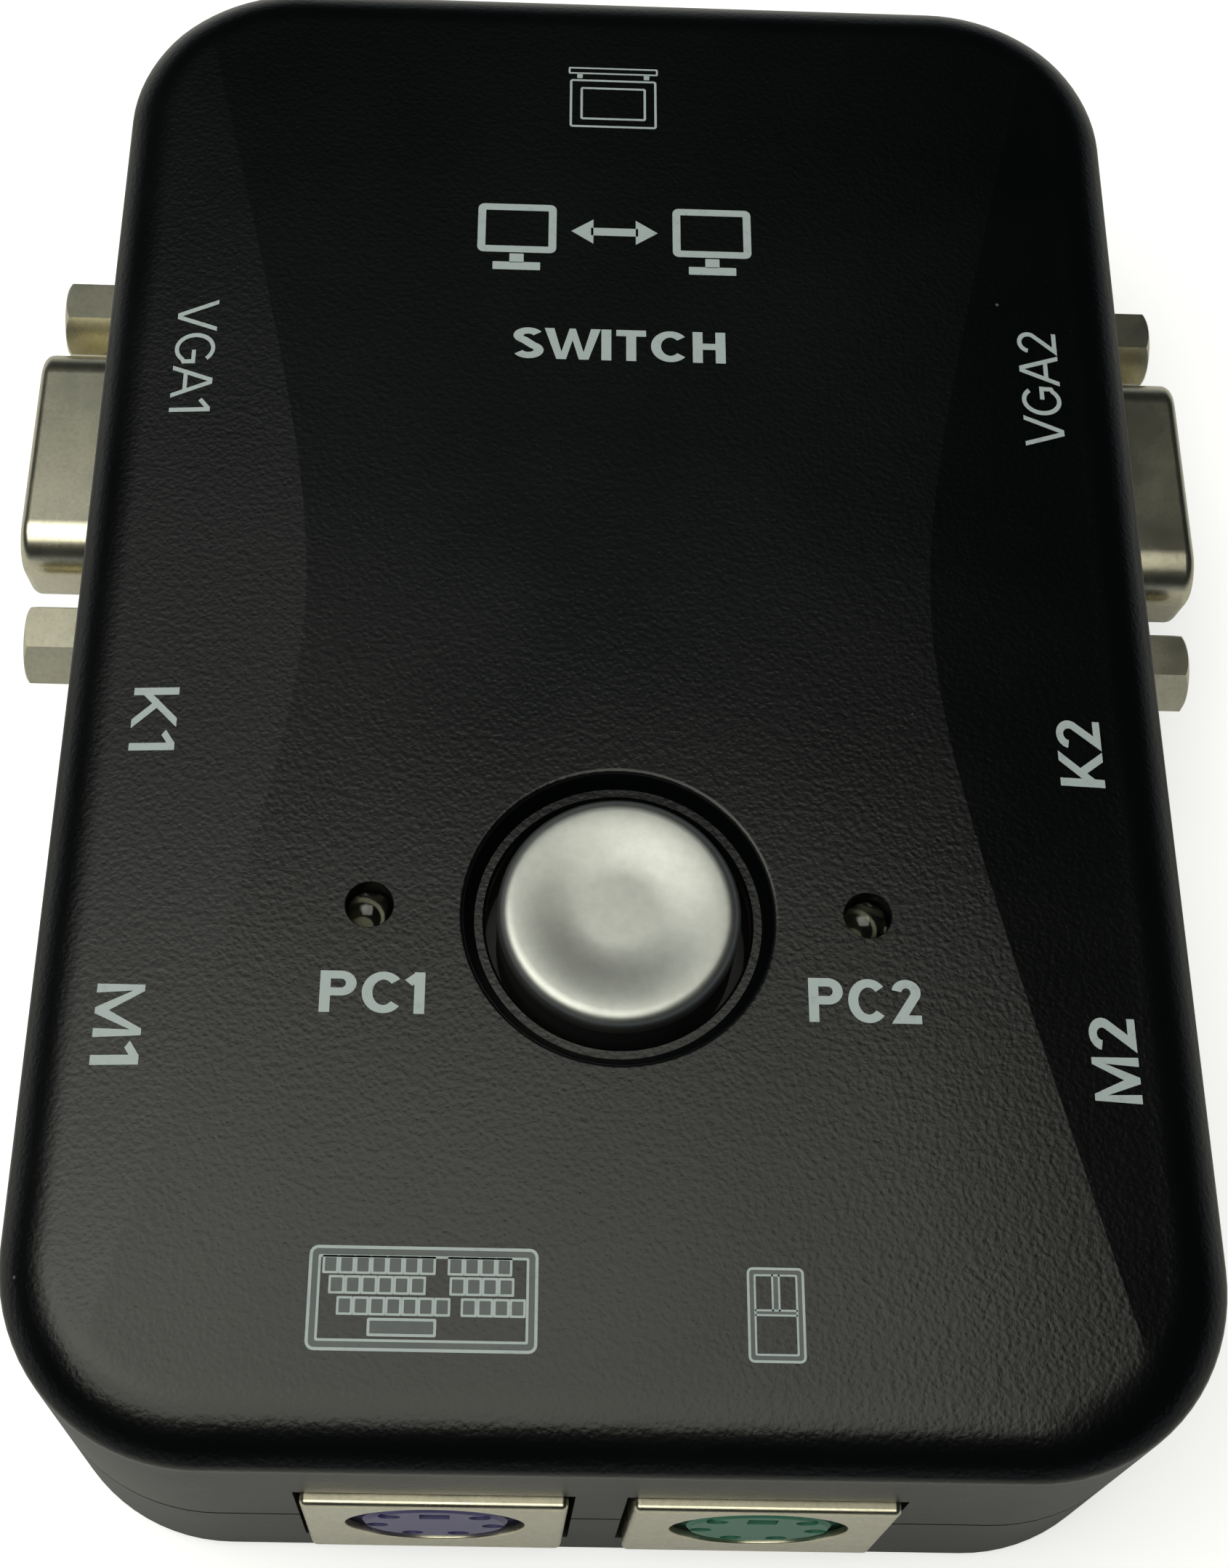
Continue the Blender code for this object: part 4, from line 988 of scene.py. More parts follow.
def letter(name, half):
    """A plain letter one unit high: its width, and its strokes' middle lines for a half width."""
    # Strokes run past the base line and the top line, where they are cut off level
    low, high = -0.2, 1.2

    def upright(x):
        return [(x, low), (x, high)]

    letters = {
        "1": (0.30, [
            upright(0.30 - half), [(0.30 - half, 1.03 - half), (0.0, 0.74)],
        ]),
        "2": (0.56, [
            bend(0.28, 0.71, 0.28 - half, 0.29 - half, 172, -28) + [(half * 1.5, half), (0.56, half)],
        ]),
        "A": (0.70, [[(-0.06, low), (0.35, 1.0 + half), (0.76, low)], [(0.14, 0.33), (0.56, 0.33)]]),
        "C": (0.74, [bend(0.39, 0.5, 0.39 - half, 0.5 - half, 42, 318, 28)]),
        "G": (0.76, [
            bend(0.39, 0.5, 0.39 - half, 0.5 - half, 42, 318, 28)
            + [(0.76 - half, 0.24), (0.76 - half, 0.48), (0.42, 0.48)],
        ]),
        "H": (0.66, [
            upright(half), upright(0.66 - half), [(half, 0.53), (0.66 - half, 0.53)],
        ]),
        "I": (2 * half, [upright(half)]),
        "K": (0.66, [upright(half), [(half, 0.24), (0.74, 1.2)], [(0.24, 0.58), (0.74, -0.2)]]),
        "M": (0.80, [
            [(half, low), (half, 1.0), (0.40, half), (0.80 - half, 1.0), (0.80 - half, low)],
        ]),
        "P": (0.66, [
            upright(half),
            [(half, 1.0 - half)] + bend(0.38, 0.7, 0.28 - half, 0.3 - half, 90, -90)
            + [(half, 0.4 + half)],
        ]),
        "S": (0.62, [
            bend(0.31, 0.74, 0.30 - half, 0.26 - half, 25, 245)
            + bend(0.31, 0.27, 0.31 - half, 0.27 - half, 62, -155),
        ]),
        "T": (0.60, [[(0.0, 1.0 - half), (0.60, 1.0 - half)], [(0.30, low), (0.30, 1.0 - half)]]),
        "V": (0.68, [[(-0.07, high), (0.34, -half), (0.75, high)]]),
        "W": (0.96, [[(-0.03, high), (0.26, -half), (0.48, 0.96), (0.70, -half), (0.99, high)]]),
    }
    return letters[name]


def stroke(points, half):
    """A solid ribbon along a line, with mitred corners."""
    points = [Vector(point) for point in points]
    left, right = [], []
    last = len(points) - 1
    for i, point in enumerate(points):
        back = point - points[i - 1] if i else points[1] - point
        ahead = points[i + 1] - point if i < last else back
        ahead, back = ahead.normalized(), back.normalized()
        side = Vector((-(ahead + back).y, (ahead + back).x)).normalized()
        reach = half / max(0.3, side.dot(Vector((-ahead.y, ahead.x))))
        left.append(point + side * reach)
        right.append(point - side * reach)
    return slab(left + right[::-1], -INK_HALF, INK_HALF)


def words(body, width, height, half):
    """Lettering as a thin solid, centred, with the given width and height over all."""
    bm = bmesh.new()
    place = 0.0
    for name in body:
        advance, strokes = letter(name, half)
        made = None
        for points in strokes:
            ribbon = stroke(points, half)
            made = combined(made, ribbon, "UNION") if made else ribbon
        for height_line, keep in ((0.0, -1.0), (1.0, 1.0)):
            cut = bmesh.ops.bisect_plane(
                made, geom=made.verts[:] + made.edges[:] + made.faces[:],
                plane_co=(0.0, height_line, 0.0), plane_no=(0.0, keep, 0.0), clear_outer=True,
            )["geom_cut"]
            edges = [item for item in cut if isinstance(item, bmesh.types.BMEdge)]
            bmesh.ops.contextual_create(made, geom=edges)
        bmesh.ops.transform(made, matrix=Matrix.Translation((place, 0.0, 0.0)), verts=made.verts)
        append(bm, made)
        place += advance + LETTER_GAP
    length = place - LETTER_GAP
    middle = Vector((length / 2, 0.5, 0.0))
    matrix = Matrix.Diagonal((width / length, height, 1.0, 1.0)) @ Matrix.Translation(-middle)
    bmesh.ops.transform(bm, matrix=matrix, verts=bm.verts)
    return bm


def block(x, y, half_x, half_y, radius, half_height=INK_HALF):
    """A flat block with rounded corners. Its place, size and radius are in millimetres."""
    outline = [point * MM for point in rounded_outline(rectangle(half_x, half_y, x, y), radius, 4)]
    return slab(outline, -half_height, half_height)


def add_bar(bm, x, y, half_x, half_y, radius=0.05, half_height=INK_HALF):
    append(bm, block(x, y, half_x, half_y, radius, half_height))


def add_frame(bm, x, y, half_x, half_y, line, radius=0.3, half_height=INK_HALF):
    """A printed outline of a rounded rectangle."""
    inside = block(x, y, half_x - line, half_y - line, max(0.05, radius - line), 2 * INK_HALF)
    append(bm, combined(block(x, y, half_x, half_y, radius, half_height), inside))


def screen_icon():
    bm = bmesh.new()
    add_frame(bm, 0.0, 2.3, 2.95, 0.28, 0.12, 0.1)
    for x in (-2.2, 2.2):
        add_bar(bm, x, 1.85, 0.18, 0.2)
    add_frame(bm, 0.0, -0.45, 2.85, 2.0, 0.15, 0.2)
    add_frame(bm, 0.0, -0.45, 2.15, 1.35, 0.15, 0.15)
    return bm


def keyboard_icon():
    """A keyboard from above: three rows of keys in two blocks over a space bar."""
    bm = bmesh.new()
    add_frame(bm, 0.0, 0.0, 5.85, 2.65, 0.16, 0.45)
    add_frame(bm, 0.0, 0.0, 5.38, 2.18, 0.13, 0.1)
    for y, *blocks in KEY_ROWS:
        for left, count in blocks:
            for i in range(count):
                add_frame(bm, left + KEY_PITCH * i, y, 0.41, 0.47, 0.12, 0.06)
    add_frame(bm, -1.02, -1.45, 1.75, 0.46, 0.14, 0.1)
    return bm


def keyboard_fill():
    """The thin ink between the lines of the keyboard."""
    bm = bmesh.new()
    add_frame(bm, 0.0, 0.0, 5.8, 2.6, 0.45, 0.4, THIN_INK_HALF)
    for y, *blocks in KEY_ROWS:
        for left, count in blocks:
            length = KEY_PITCH * (count - 1)
            add_bar(bm, left + length / 2, y, length / 2 + 0.4, 0.45, 0.05, THIN_INK_HALF)
    add_bar(bm, -1.02, -1.45, 1.7, 0.42, 0.05, THIN_INK_HALF)
    return bm


def mouse_icon():
    """A two-button mouse from above."""
    bm = bmesh.new()
    add_frame(bm, 0.0, 0.0, 1.47, 2.4, 0.13, 0.3)
    add_frame(bm, 0.0, 0.0, 1.12, 2.05, 0.1, 0.1)
    for y in (-0.02, 0.22):
        add_bar(bm, 0.0, y, 1.1, 0.05)
    for x in (-0.17, 0.17):
        add_bar(bm, x, 1.1, 0.05, 0.95)
    return bm


def mouse_fill():
    """The thin ink between the lines of the mouse."""
    bm = bmesh.new()
    add_frame(bm, 0.0, 0.0, 1.42, 2.35, 0.35, 0.25, THIN_INK_HALF)
    add_bar(bm, 0.0, 0.1, 1.1, 0.12, 0.05, THIN_INK_HALF)
    add_bar(bm, 0.0, 1.15, 0.17, 0.9, 0.05, THIN_INK_HALF)
    return bm


def switch_symbol():
    """Two screens with a double arrow between them: the plain sign for changing over."""
    bm = bmesh.new()
    for x in (-6.2, 6.2):
        add_frame(bm, x, 0.5, 2.5, 1.9, 0.5, 0.4)
        add_bar(bm, x, -1.85, 0.45, 0.35)
        add_bar(bm, x, -2.45, 1.5, 0.3)
    add_bar(bm, 0.0, 0.4, 1.5, 0.3)
    for side in (-1, 1):
        tip = [(side * 2.75, 0.4), (side * 1.35, 1.35), (side * 1.35, -0.55)]
        outline = [Vector(point) * MM for point in (tip if side < 0 else tip[::-1])]
        append(bm, slab(outline, -INK_HALF, INK_HALF))
    return bm


# ---------------------------------------------------------------- sockets
# Shaped facing the front (-Y). A video flange's face is at y = 0 with its middle at z = 0,
# a round socket's plate is at y = 0 with its lower edge at z = 0.

def d_outline(inset):
    """The D of a video socket, wide side up, moved in by inset."""
    half_height = D_HALF_HEIGHT - inset
    middle = D_MID_HALF_WIDTH - inset / math.cos(D_SIDE_ANGLE)
    lean = half_height * math.tan(D_SIDE_ANGLE)
    top, bottom = middle + lean, middle - lean
    corners = (
        (-bottom, -half_height), (bottom, -half_height), (top, half_height), (-top, half_height),
    )
    return rounded_outline(corners, max(0.3 * MM, D_CORNER - inset), 10)


def video_shell_shape():
    """Flange with drawn D, its front edge rolled in over the contact block."""
    flange = bmesh.new()
    soft = 0.15 * MM
    edges = ((soft, 0.0), (soft * 0.3, soft * 0.3), (0.0, soft), (0.0, FLANGE_THICKNESS))
    half_x, half_z = FLANGE_WIDTH / 2, FLANGE_HEIGHT / 2
    rings = []
    for inset, y in edges:
        corners = rectangle(half_x - inset, half_z - inset)
        rings.append(across(rounded_outline(corners, FLANGE_CORNER - inset, 6), y))
    add_loft(flange, rings, caps=True)

    drawn = bmesh.new()
    foot = 0.5 * MM
    rings = [across(d_outline(-foot), FLANGE_THICKNESS / 2)]
    for step in range(6):
        angle = step / 5 * math.pi / 2
        inset, y = -foot * (1 - math.sin(angle)), -foot * (1 - math.cos(angle))
        rings.append(across(d_outline(inset), y))
    for step in range(8):
        angle = step / 7 * math.pi / 2
        inset = D_FRONT_EDGE * (1 - math.cos(angle))
        y = -D_LENGTH + D_FRONT_EDGE * (1 - math.sin(angle))
        rings.append(across(d_outline(inset), y))
    add_loft(drawn, rings, caps=True)
    shell = combined(flange, drawn, "UNION")

    brackets = bmesh.new()
    bracket_half, bracket_end = 2.3 * MM, FLANGE_THICKNESS + 6.0 * MM
    for side in (-1, 1):
        middle = side * JACK_SPACING / 2
        low = (middle - bracket_half, FLANGE_THICKNESS / 2, -half_z + FLANGE_THICKNESS)
        high = (middle + bracket_half, bracket_end, half_z - FLANGE_THICKNESS)
        add_box(brackets, low, high)
    shell = combined(shell, brackets, "UNION")

    cuts = bmesh.new()
    plate = 0.45 * MM
    inside = d_outline(plate)
    mouth = d_outline(D_FRONT_EDGE + 0.05 * MM)
    rings = [
        across(mouth, -D_LENGTH - WALL), across(mouth, -D_LENGTH + 0.3 * MM),
        across(inside, -D_LENGTH + plate), across(inside, FLANGE_THICKNESS + WALL),
    ]
    add_loft(cuts, rings, caps=True)
    for side in (-1, 1):
        add_rod(cuts, STUD_HOLE_RADIUS, -WALL, bracket_end + WALL, side * JACK_SPACING / 2)
    return combined(shell, cuts)


def video_insert_shape():
    """Contact block: the D nose with fifteen countersunk holes in three rows."""
    bm = bmesh.new()
    near = WALL + GAP
    half = 8.8 * MM
    low = BOARD_TOP + GAP - VIDEO_HEIGHT
    add_box(bm, (-half, near, low), (half, near + 9.0 * MM, FLANGE_HEIGHT / 2 - GAP))
    nose = bmesh.new()
    edge = 0.15 * MM
    side = d_outline(0.9 * MM)
    rings = [
        across(d_outline(0.9 * MM + edge), -D_LENGTH + GAP),
        across(side, -D_LENGTH + GAP + edge), across(side, near + WALL),
    ]
    add_loft(nose, rings, caps=True)
    bm = combined(bm, nose, "UNION")
    holes = bmesh.new()
    front, sink = D_LENGTH - GAP, 0.2 * MM
    profile = [
        (0.0, front + WALL), (CONTACT_RADIUS + sink, front + WALL), (CONTACT_RADIUS + sink, front),
        (CONTACT_RADIUS, front - sink), (CONTACT_RADIUS, front - CONTACT_DEPTH),
        (0.0, front - CONTACT_DEPTH),
    ]
    for row in (-1, 0, 1):
        shift = CONTACT_PITCH / 4 * (-1 if row == 0 else 1)
        for column in range(-2, 3):
            x = column * CONTACT_PITCH + shift
            append(holes, lying(turned(profile, segments=20), x, row * CONTACT_ROW))
    return combined(bm, holes)


def jackscrew_shape():
    """Hexagonal jackscrew: chamfered corners, a tapped bore and the stud behind the flange."""
    head = bmesh.new()
    radius = JACK_FLATS / math.sqrt(3)
    add_rod(head, radius, -JACK_LENGTH, -0.02 * MM, segments=6, turn=math.pi / 6)
    chamfer = 0.45 * MM
    round_limit = [
        (0.0, JACK_LENGTH), (radius - chamfer, JACK_LENGTH),
        (radius - chamfer / 4, JACK_LENGTH - chamfer / 2),
        (radius + 0.1 * MM, JACK_LENGTH - chamfer), (radius + 0.1 * MM, 0.3 * MM),
        (radius - 0.2 * MM, 0.02 * MM), (0.0, 0.02 * MM),
    ]
    head = combined(head, lying(turned(round_limit, segments=72)), "INTERSECT")
    stud = bmesh.new()
    add_rod(stud, STUD_RADIUS, -JACK_LENGTH / 10, STUD_LENGTH)
    head = combined(head, stud, "UNION")

    # The tapped bore: a countersink, then one groove for each turn of the thread
    crest = JACK_BORE_RADIUS
    mouth = crest + 0.4 * MM
    bore = [(0.0, JACK_LENGTH + WALL), (mouth, JACK_LENGTH + WALL), (mouth, JACK_LENGTH)]
    height = JACK_LENGTH - 0.4 * MM
    while height > 1.2 * MM:
        bore += [(crest, height), (crest + 0.25 * MM, height - JACK_THREAD_PITCH / 2)]
        height -= JACK_THREAD_PITCH
    bore += [(crest, height), (0.0, height - 0.6 * MM)]
    return combined(head, lying(turned(bore, segments=40)))


def din_shield_shape():
    """Bent metal cover: front plate with a turned-in mouth, a top and two sides."""
    half = DIN_WIDTH / 2
    bm = bmesh.new()
    add_box(bm, (-half, 0.0, 0.0), (half, DIN_DEPTH, DIN_HEIGHT))
    bm.normal_update()
    unwanted = [face for face in bm.faces if face.normal.y > 0.5 or face.normal.z < -0.5]
    bmesh.ops.delete(bm, geom=unwanted, context="FACES")
    bends = [edge for edge in bm.edges if len(edge.link_faces) == 2]
    bmesh.ops.bevel(
        bm, geom=bends, offset=DIN_BEND, offset_type="OFFSET", affect="EDGES", segments=5,
        profile=0.5, material=-1,
    )
    shield = thickened(bm, DIN_PLATE)
    soft = 0.1 * MM
    mouth = [(0.0, WALL), (DIN_MOUTH_RADIUS + soft, WALL)]
    mouth += arc(DIN_MOUTH_RADIUS + soft, -soft, soft, 90, 180, 4)
    mouth += [(DIN_MOUTH_RADIUS, -WALL), (0.0, -WALL)]
    return combined(shield, lying(turned(mouth, segments=96), 0.0, DIN_MOUTH_HEIGHT))


def din_insert_shape():
    """Socket body: a block with a round groove, and the core with six contacts and the key."""
    half = DIN_WIDTH / 2 - DIN_PLATE - GAP
    bm = bmesh.new()
    add_box(bm, (-half, DIN_PLATE + GAP, GAP), (half, DIN_DEPTH - GAP, DIN_HEIGHT - DIN_PLATE - GAP))
    cavity = bmesh.new()
    add_rod(cavity, DIN_CAVITY_RADIUS, -WALL, DIN_GROOVE_DEPTH, 0.0, DIN_MOUTH_HEIGHT, segments=72)
    bm = combined(bm, cavity)
    edge = 0.2 * MM
    sink = -0.05 * MM
    core = [
        (0.0, sink), (DIN_CORE_RADIUS - edge, sink), (DIN_CORE_RADIUS, sink - edge),
        (DIN_CORE_RADIUS, -DIN_GROOVE_DEPTH - WALL), (0.0, -DIN_GROOVE_DEPTH - WALL),
    ]
    bm = combined(bm, lying(turned(core, segments=64), 0.0, DIN_MOUTH_HEIGHT), "UNION")
    holes = bmesh.new()
    for x, z in DIN_CONTACTS:
        for side in (-1, 1):
            height = DIN_MOUTH_HEIGHT + z * MM
            x_middle = side * x * MM
            add_rod(holes, DIN_HOLE_RADIUS, -WALL, CONTACT_DEPTH, x_middle, height, segments=20)
    low, high = (DIN_MOUTH_HEIGHT + edge_height for edge_height in DIN_KEY_HEIGHTS)
    add_box(holes, (-DIN_KEY_HALF, -WALL, low), (DIN_KEY_HALF, CONTACT_DEPTH, high))
    return combined(bm, holes)


# ---------------------------------------------------------------- operators

def add_socket(kind, name, place, *parts):
    """The pieces of one socket. A part is its name, its shape, its finish and its CAD name."""
    for piece, shape, material, node in parts:
        names = (f"{kind}_{piece}_{name}", f"{kind}_{node}_{name}")
        add_piece(names[0], shape, material, "case", names[1], place=place)


class SWITCH_OT_case(Operator):
    """Make the two case shells"""
    bl_idname = "switch.case"
    bl_label = "Case Shells"

    def execute(self, context):
        plastic_shell = ("case_plastic", "case")
        add_piece("top_shell", top_shell(), *plastic_shell, "top_case", crease_test=on_crease)
        add_piece("bottom_shell", bottom_shell(), *plastic_shell, "bottom_case")
        return {"FINISHED"}


class SWITCH_OT_markings(Operator):
    """Print the port names and the signs on the top"""
    bl_idname = "switch.markings"
    bl_label = "Markings"

    def execute(self, context):
        for name, (body, middle, size, turn, weight) in LABELS.items():
            shape = words(body, size[0] * MM, size[1] * MM, weight)
            shape = draped(shape, middle[0] * MM, middle[1] * MM, turn)
            add_piece(name, shape, "printed_ink", "case")
        signs = (
            ("icon_screen", screen_icon, SCREEN_SIGN, "printed_ink"),
            ("icon_keyboard", keyboard_icon, KEYBOARD_SIGN, "printed_ink"),
            ("icon_mouse", mouse_icon, MOUSE_SIGN, "printed_ink"),
            ("fill_keyboard", keyboard_fill, KEYBOARD_SIGN, "thin_ink"),
            ("fill_mouse", mouse_fill, MOUSE_SIGN, "thin_ink"),
            ("sign_switch", switch_symbol, SWITCH_SIGN, "printed_ink"),
        )
        for name, maker, (x, y), ink in signs:
            add_piece(name, draped(maker(), x * MM, y * MM), ink, "case")
        return {"FINISHED"}


class SWITCH_OT_button(Operator):
    """Make the push button and finish the switch under it"""
    bl_idname = "switch.button"
    bl_label = "Push Button"

    def execute(self, context):
        shape = context.scene.switch_shape
        radius, top, dish = shape.button_radius, shape.button_top, shape.button_dish
        roof = top - 1.7 * MM
        flange_top = SLEEVE_BOTTOM - GAP
        flange_bottom = flange_top - 1.0 * MM
        inside = radius - 1.0 * MM
        edge = 0.8 * MM
        flange_radius = 7.8 * MM
        stem_radius, stem_bore, stem_end = 2.4 * MM, 1.3 * MM, 18.7 * MM
        side_end = CASE_TOP - 0.5 * MM
        dish_radius = radius - edge - 0.1 * MM
        hollow = []
        for step in range(17):
            rise = max(0.0, step / 16 - 0.35) / 0.65
            hollow.append((dish_radius * step / 16, top - dish * (1 - rise * rise * (3 - 2 * rise))))
        cap = hollow + arc(radius - edge, top - edge, edge, 82, 0, 8) + [
            (radius, side_end), (radius, flange_top), (flange_radius, flange_top),
            (flange_radius, flange_bottom), (inside, flange_bottom), (inside, roof),
            (stem_radius, roof), (stem_radius, stem_end), (stem_bore, stem_end),
            (stem_bore, roof - WALL), (0.0, roof - WALL),
        ]
        cap = turned(cap, 0.0, BUTTON_Y, 128)
        # Below side_end the cap takes the dark switch plastic instead of its satin finish: painted
        # shade on the side of the cap that stands down in the hole round it.
        plain = (side_end, "switch_plastic")
        add_piece("push_button", cap, "button_satin", "button", "button_cap", lower=plain)
        dress("switch_plastic", "switch_plunger", "switch_housing")
        dress("spring_wire", "return_spring")
        return {"FINISHED"}


class SWITCH_OT_lamps(Operator):
    """Make the two clear lamps and the metal frames inside them"""
    bl_idname = "switch.lamps"
    bl_label = "Lamps"

    def execute(self, context):
        shoulder = LAMP_TIP - LAMP_RADIUS
        flange, flange_radius = LAMP_BASE + 0.8 * MM, 1.75 * MM
        dome = [(0.0, LAMP_TIP)] + arc(0.0, shoulder, LAMP_RADIUS, 82, 0, 10) + [
            (LAMP_RADIUS, flange), (flange_radius, flange), (flange_radius, LAMP_BASE),
            (0.0, LAMP_BASE),
        ]
        cup_top = shoulder - 0.5 * MM
        cup = [
            (0.0, cup_top - 0.35 * MM), (0.25 * MM, cup_top - 0.35 * MM), (0.5 * MM, cup_top),
            (0.6 * MM, cup_top), (0.45 * MM, cup_top - 0.6 * MM), (0.45 * MM, LAMP_BASE + 0.4 * MM),
            (0.0, LAMP_BASE + 0.4 * MM),
        ]
        for name, x in (("pc1", -LAMP_X), ("pc2", LAMP_X)):
            resin = turned(dome, x, LAMP_Y, 64)
            add_piece(f"lens_{name}", resin, "clear_resin", "case", f"lamp_{name}")
            frame_shape = turned(cup, x - 0.2 * MM, LAMP_Y, 24)
            low = (x + 0.55 * MM, LAMP_Y - 0.2 * MM, LAMP_BASE + 0.4 * MM)
            high = (x + 0.85 * MM, LAMP_Y + 0.2 * MM, cup_top - 0.1 * MM)
            add_box(frame_shape, low, high)
            # The frame's dark finish is painted shade for the inside of the lamp.
            add_piece(f"lamp_frame_{name}", frame_shape, "lamp_frame", "case")
            dress("stand_nylon", f"lamp_stand_{name}")
        return {"FINISHED"}


class SWITCH_OT_video(Operator):
    """Make the three video sockets with their jackscrews"""
    bl_idname = "switch.video"
    bl_label = "Video Sockets"

    def execute(self, context):
        for name, (x, y, turn) in VIDEO_PLACES.items():
            place = socket_place(x, y, VIDEO_HEIGHT, turn)
            add_socket(
                "video", name, place, ("cover", video_shell_shape(), "nickel_plate", "shell"),
                ("block", video_insert_shape(), "video_core", "insert"),
            )
            for end, sign in (("a", -1), ("b", 1)):
                spot = place @ Matrix.Translation((sign * JACK_SPACING / 2, 0.0, 0.0))
                names = (f"hex_{name}_{end}", f"jackscrew_{name}_{end}")
                add_piece(names[0], jackscrew_shape(), "nickel_plate", "case", names[1], place=spot)
        return {"FINISHED"}


class SWITCH_OT_round(Operator):
    """Make the six round keyboard and mouse sockets"""
    bl_idname = "switch.round_sockets"
    bl_label = "Round Sockets"

    def execute(self, context):
        for name, (use, x, y, turn) in DIN_PLACES.items():
            place = socket_place(x, y, BOARD_TOP, turn)
            add_socket(
                "din", name, place, ("cover", din_shield_shape(), "nickel_plate", "shield"),
                ("core", din_insert_shape(), f"{use}_core", "insert"),
            )
        return {"FINISHED"}


class SWITCH_OT_fasteners(Operator):
    """Make the case screws and the feet"""
    bl_idname = "switch.fasteners"
    bl_label = "Screws and Feet"

    def execute(self, context):
        names = ("front_left", "rear_left", "front_right", "rear_right")
        for name, (x, y) in zip(names, four_corners(POST_X, POST_Y)):
            screw = self.screw(x, y)
            add_piece(f"screw_{name}", screw, "screw_steel", "case", f"case_screw_{name}")
        foot = [(0.0, FOOT_POCKET - GAP), (FOOT_RADIUS, FOOT_POCKET - GAP)]
        edge = 0.4 * MM
        foot += [
            (FOOT_RADIUS - edge * (1 - math.cos(a)), -FOOT_STAND + edge - edge * math.sin(a))
            for a in (math.radians(15 * step) for step in range(7))
        ]
        foot.append((0.0, -FOOT_STAND))
        for name, (x, y) in zip(names, four_corners(FOOT_X, FOOT_Y)):
            add_piece(f"pad_{name}", turned(foot, x, y), "sleeve_rubber", "case", f"foot_{name}")
        return {"FINISHED"}

    def screw(self, x, y):
        """A pan-headed screw, head down, with a cross recess and ridges for its thread."""
        head_top = SCREW_POCKET_DEPTH - GAP
        head_bottom = head_top - 1.1 * MM
        tip = head_top + SCREW_LENGTH
        shank, root, thread, pitch = 1.0 * MM, 0.95 * MM, 1.2 * MM, 0.9 * MM
        head_radius, head_edge = 2.4 * MM, 0.7 * MM
        profile = [(0.0, tip), (0.3 * MM, tip - 0.6 * MM)]
        height = tip - 1.4 * MM
        while height > head_top + 1.5 * MM:
            profile += [(root, height + 0.3 * MM), (thread, height)]
            height -= pitch
        profile += [(shank, height), (shank, head_top), (head_radius, head_top)]
        profile += arc(head_radius - head_edge, head_bottom + head_edge, head_edge, 0, -90, 5)
        profile.append((0.0, head_bottom))
        body = turned(profile, x, y, 40)
        reach, half, depth = 1.3 * MM, 0.28 * MM, 0.7 * MM
        slots = []
        for half_x, half_y in ((reach, half), (half, reach)):
            slots.append(bmesh.new())
            low = (x - half_x, y - half_y, head_bottom - MM)
            add_box(slots[-1], low, (x + half_x, y + half_y, head_bottom + depth))
        return combined(body, combined(*slots, "UNION"))


class SWITCH_OT_inside(Operator):
    """Finish the board and the parts on it"""
    bl_idname = "switch.inside"
    bl_label = "Board and Parts"

    def execute(self, context):
        dress("board_mask", "main_board")
        dress("chip_epoxy", "switching_chip", "control_chip")
        dress("can_metal", "crystal", "capacitor_left", "capacitor_right")
        return {"FINISHED"}


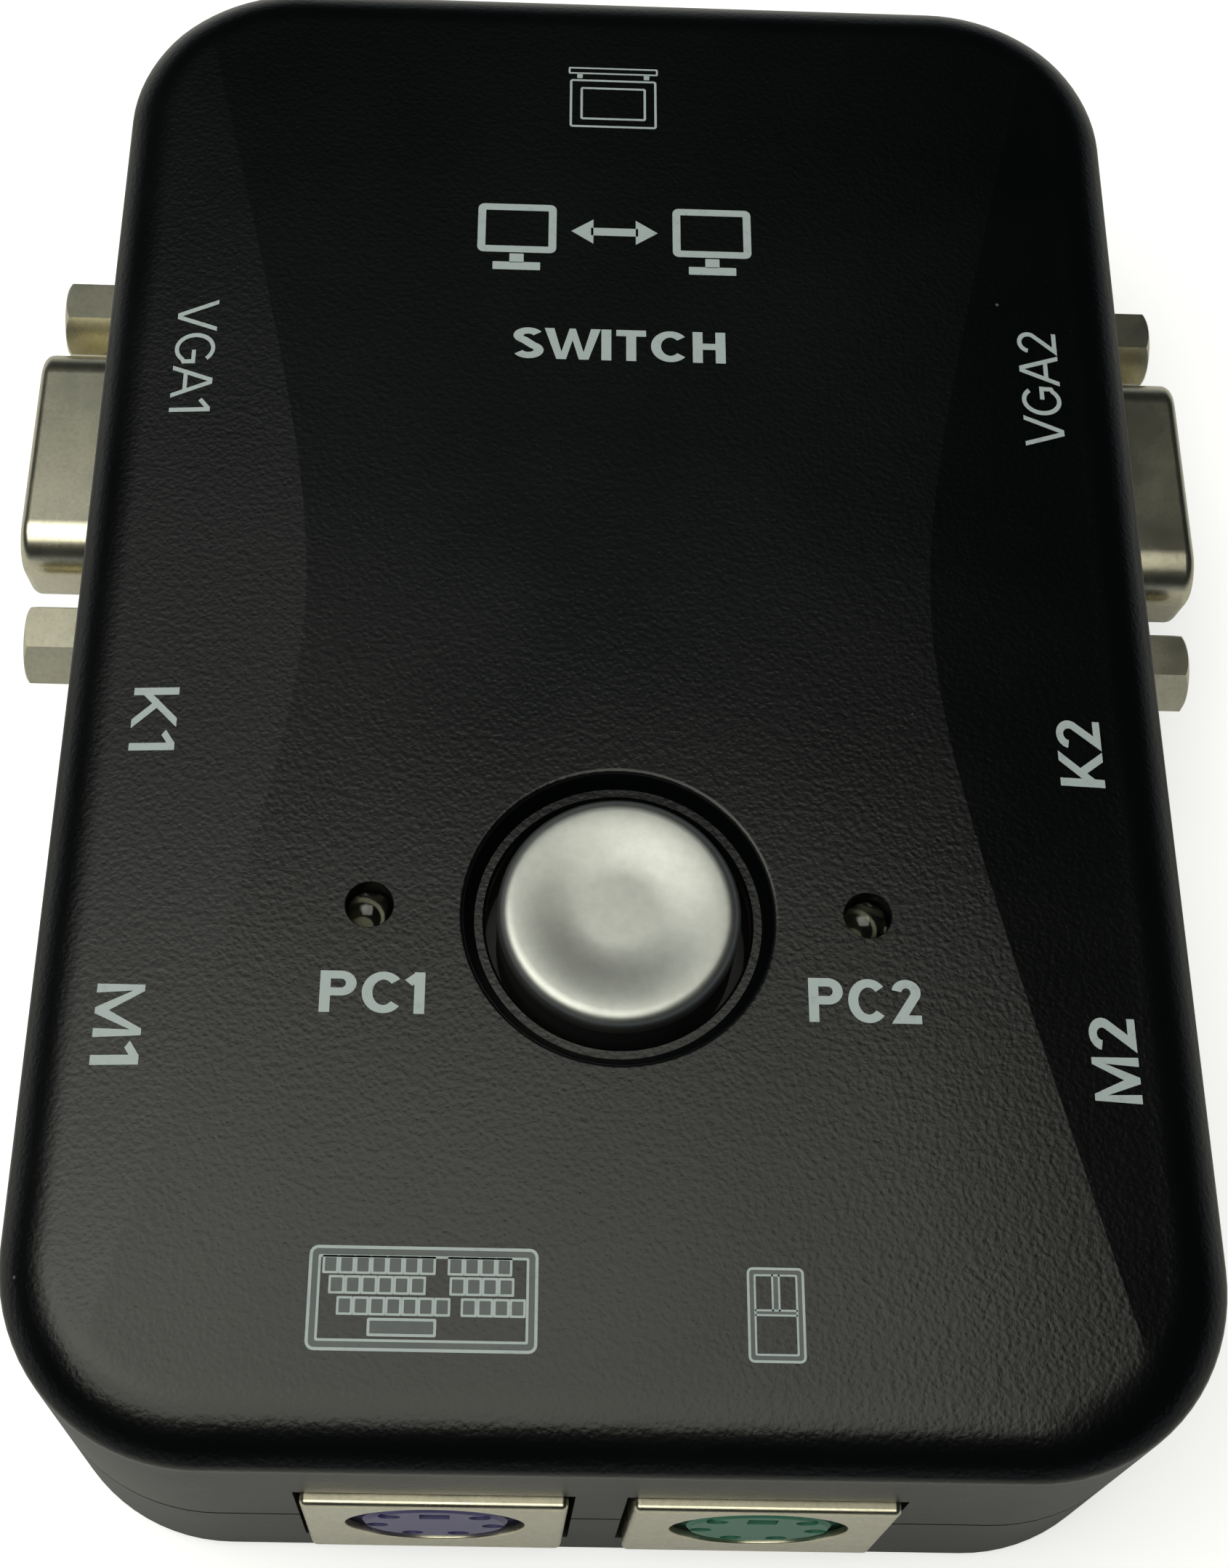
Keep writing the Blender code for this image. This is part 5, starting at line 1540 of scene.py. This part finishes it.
class SWITCH_OT_stage(Operator):
    """Set the floor, the light and the camera"""
    bl_idname = "switch.stage"
    bl_label = "Stage"

    def execute(self, context):
        settings = context.scene.switch_stage
        self.floor(settings)
        self.lights(context, settings)
        self.camera(context)
        return {"FINISHED"}

    def floor(self, settings):
        bm = bmesh.new()
        bmesh.ops.create_grid(bm, x_segments=1, y_segments=1, size=3.0)
        floor = add_object("floor", mesh_of(bm, "floor"))
        material, tree, shader = blank_material("plain_floor")
        seen = tree.nodes.new("ShaderNodeLightPath").outputs["Is Camera Ray"]
        wire(
            tree, shader, Base_Color=(*settings.floor, 1.0), Roughness=0.9,
            Emission_Color=(1.0, 1.0, 1.0, 1.0),
            Emission_Strength=maths(tree, "MULTIPLY", seen, settings.glow),
        )
        floor.data.materials.append(material)

    def lights(self, context, settings):
        scene = context.scene
        scene.view_settings.view_transform = "Standard"
        world = bpy.data.worlds.new("soft_surround")
        world.use_nodes = True
        tree = world.node_tree
        direction = tree.nodes.new("ShaderNodeTexCoord").outputs["Generated"]
        height = add_node(tree, "ShaderNodeSeparateXYZ", Vector=direction).outputs["Z"]
        strength = ranged(tree, height, 0.04, 0.2, settings.horizon, settings.zenith)
        wire(tree, tree.nodes["Background"], Color=(0.78, 0.9, 1.0, 1.0), Strength=strength)
        scene.world = world
        for name, low, high, height, brightness, colour in PANELS:
            light = bpy.data.lights.new(name, "AREA")
            light.shape = "RECTANGLE"
            light.size, light.size_y = high[0] - low[0], high[1] - low[1]
            light.color = colour
            light.energy = brightness * settings.panel * math.pi * light.size * light.size_y
            panel = add_object(name, light)
            panel.location = ((low[0] + high[0]) / 2, (low[1] + high[1]) / 2, height)

    def camera(self, context):
        data = bpy.data.cameras.new("camera")
        data.sensor_width, data.lens = CAMERA_SENSOR, CAMERA_LENS
        data.shift_x, data.shift_y = CAMERA_SHIFT
        data.clip_start, data.clip_end = CAMERA_RANGE
        camera = add_object("camera", data)
        place = Matrix.Translation(ORIGIN + Vector(CAMERA_PLACE) * MM)
        for axis, angle in CAMERA_TURNS:
            place = place @ Matrix.Rotation(math.radians(angle), 4, axis)
        camera.matrix_world = place
        context.scene.camera = camera


class SWITCH_PT_pieces(Panel):
    """Lists the groups of pieces"""
    bl_label = "KVM Switch"
    bl_space_type = "VIEW_3D"
    bl_region_type = "UI"
    bl_category = "KVM Switch"

    def draw(self, context):
        for operator in PIECES:
            self.layout.operator(operator.bl_idname)
        for group in SETTINGS:
            settings = getattr(context.scene, group)
            box = self.layout.box()
            for name in settings.bl_rna.properties.keys():
                if name not in ("rna_type", "name"):
                    box.prop(settings, name)


PIECES = (
    SWITCH_OT_case, SWITCH_OT_markings, SWITCH_OT_button, SWITCH_OT_lamps, SWITCH_OT_video,
    SWITCH_OT_round, SWITCH_OT_fasteners, SWITCH_OT_inside, SWITCH_OT_stage,
)
SETTINGS = {"switch_shape": SwitchShape, "switch_finish": SwitchFinish, "switch_stage": SwitchStage}


def register():
    for name, kind in SETTINGS.items():
        bpy.utils.register_class(kind)
        setattr(bpy.types.Scene, name, PointerProperty(type=kind))
    for kind in (*PIECES, SWITCH_PT_pieces):
        bpy.utils.register_class(kind)


def unregister():
    for kind in (SWITCH_PT_pieces, *reversed(PIECES)):
        bpy.utils.unregister_class(kind)
    for name, kind in reversed(SETTINGS.items()):
        delattr(bpy.types.Scene, name)
        bpy.utils.unregister_class(kind)


def main():
    register()
    bpy.ops.switch.case()
    bpy.ops.switch.markings()
    bpy.ops.switch.button()
    bpy.ops.switch.lamps()
    bpy.ops.switch.video()
    bpy.ops.switch.round_sockets()
    bpy.ops.switch.fasteners()
    bpy.ops.switch.inside()
    bpy.ops.switch.stage()


if __name__ == "__main__":
    main()
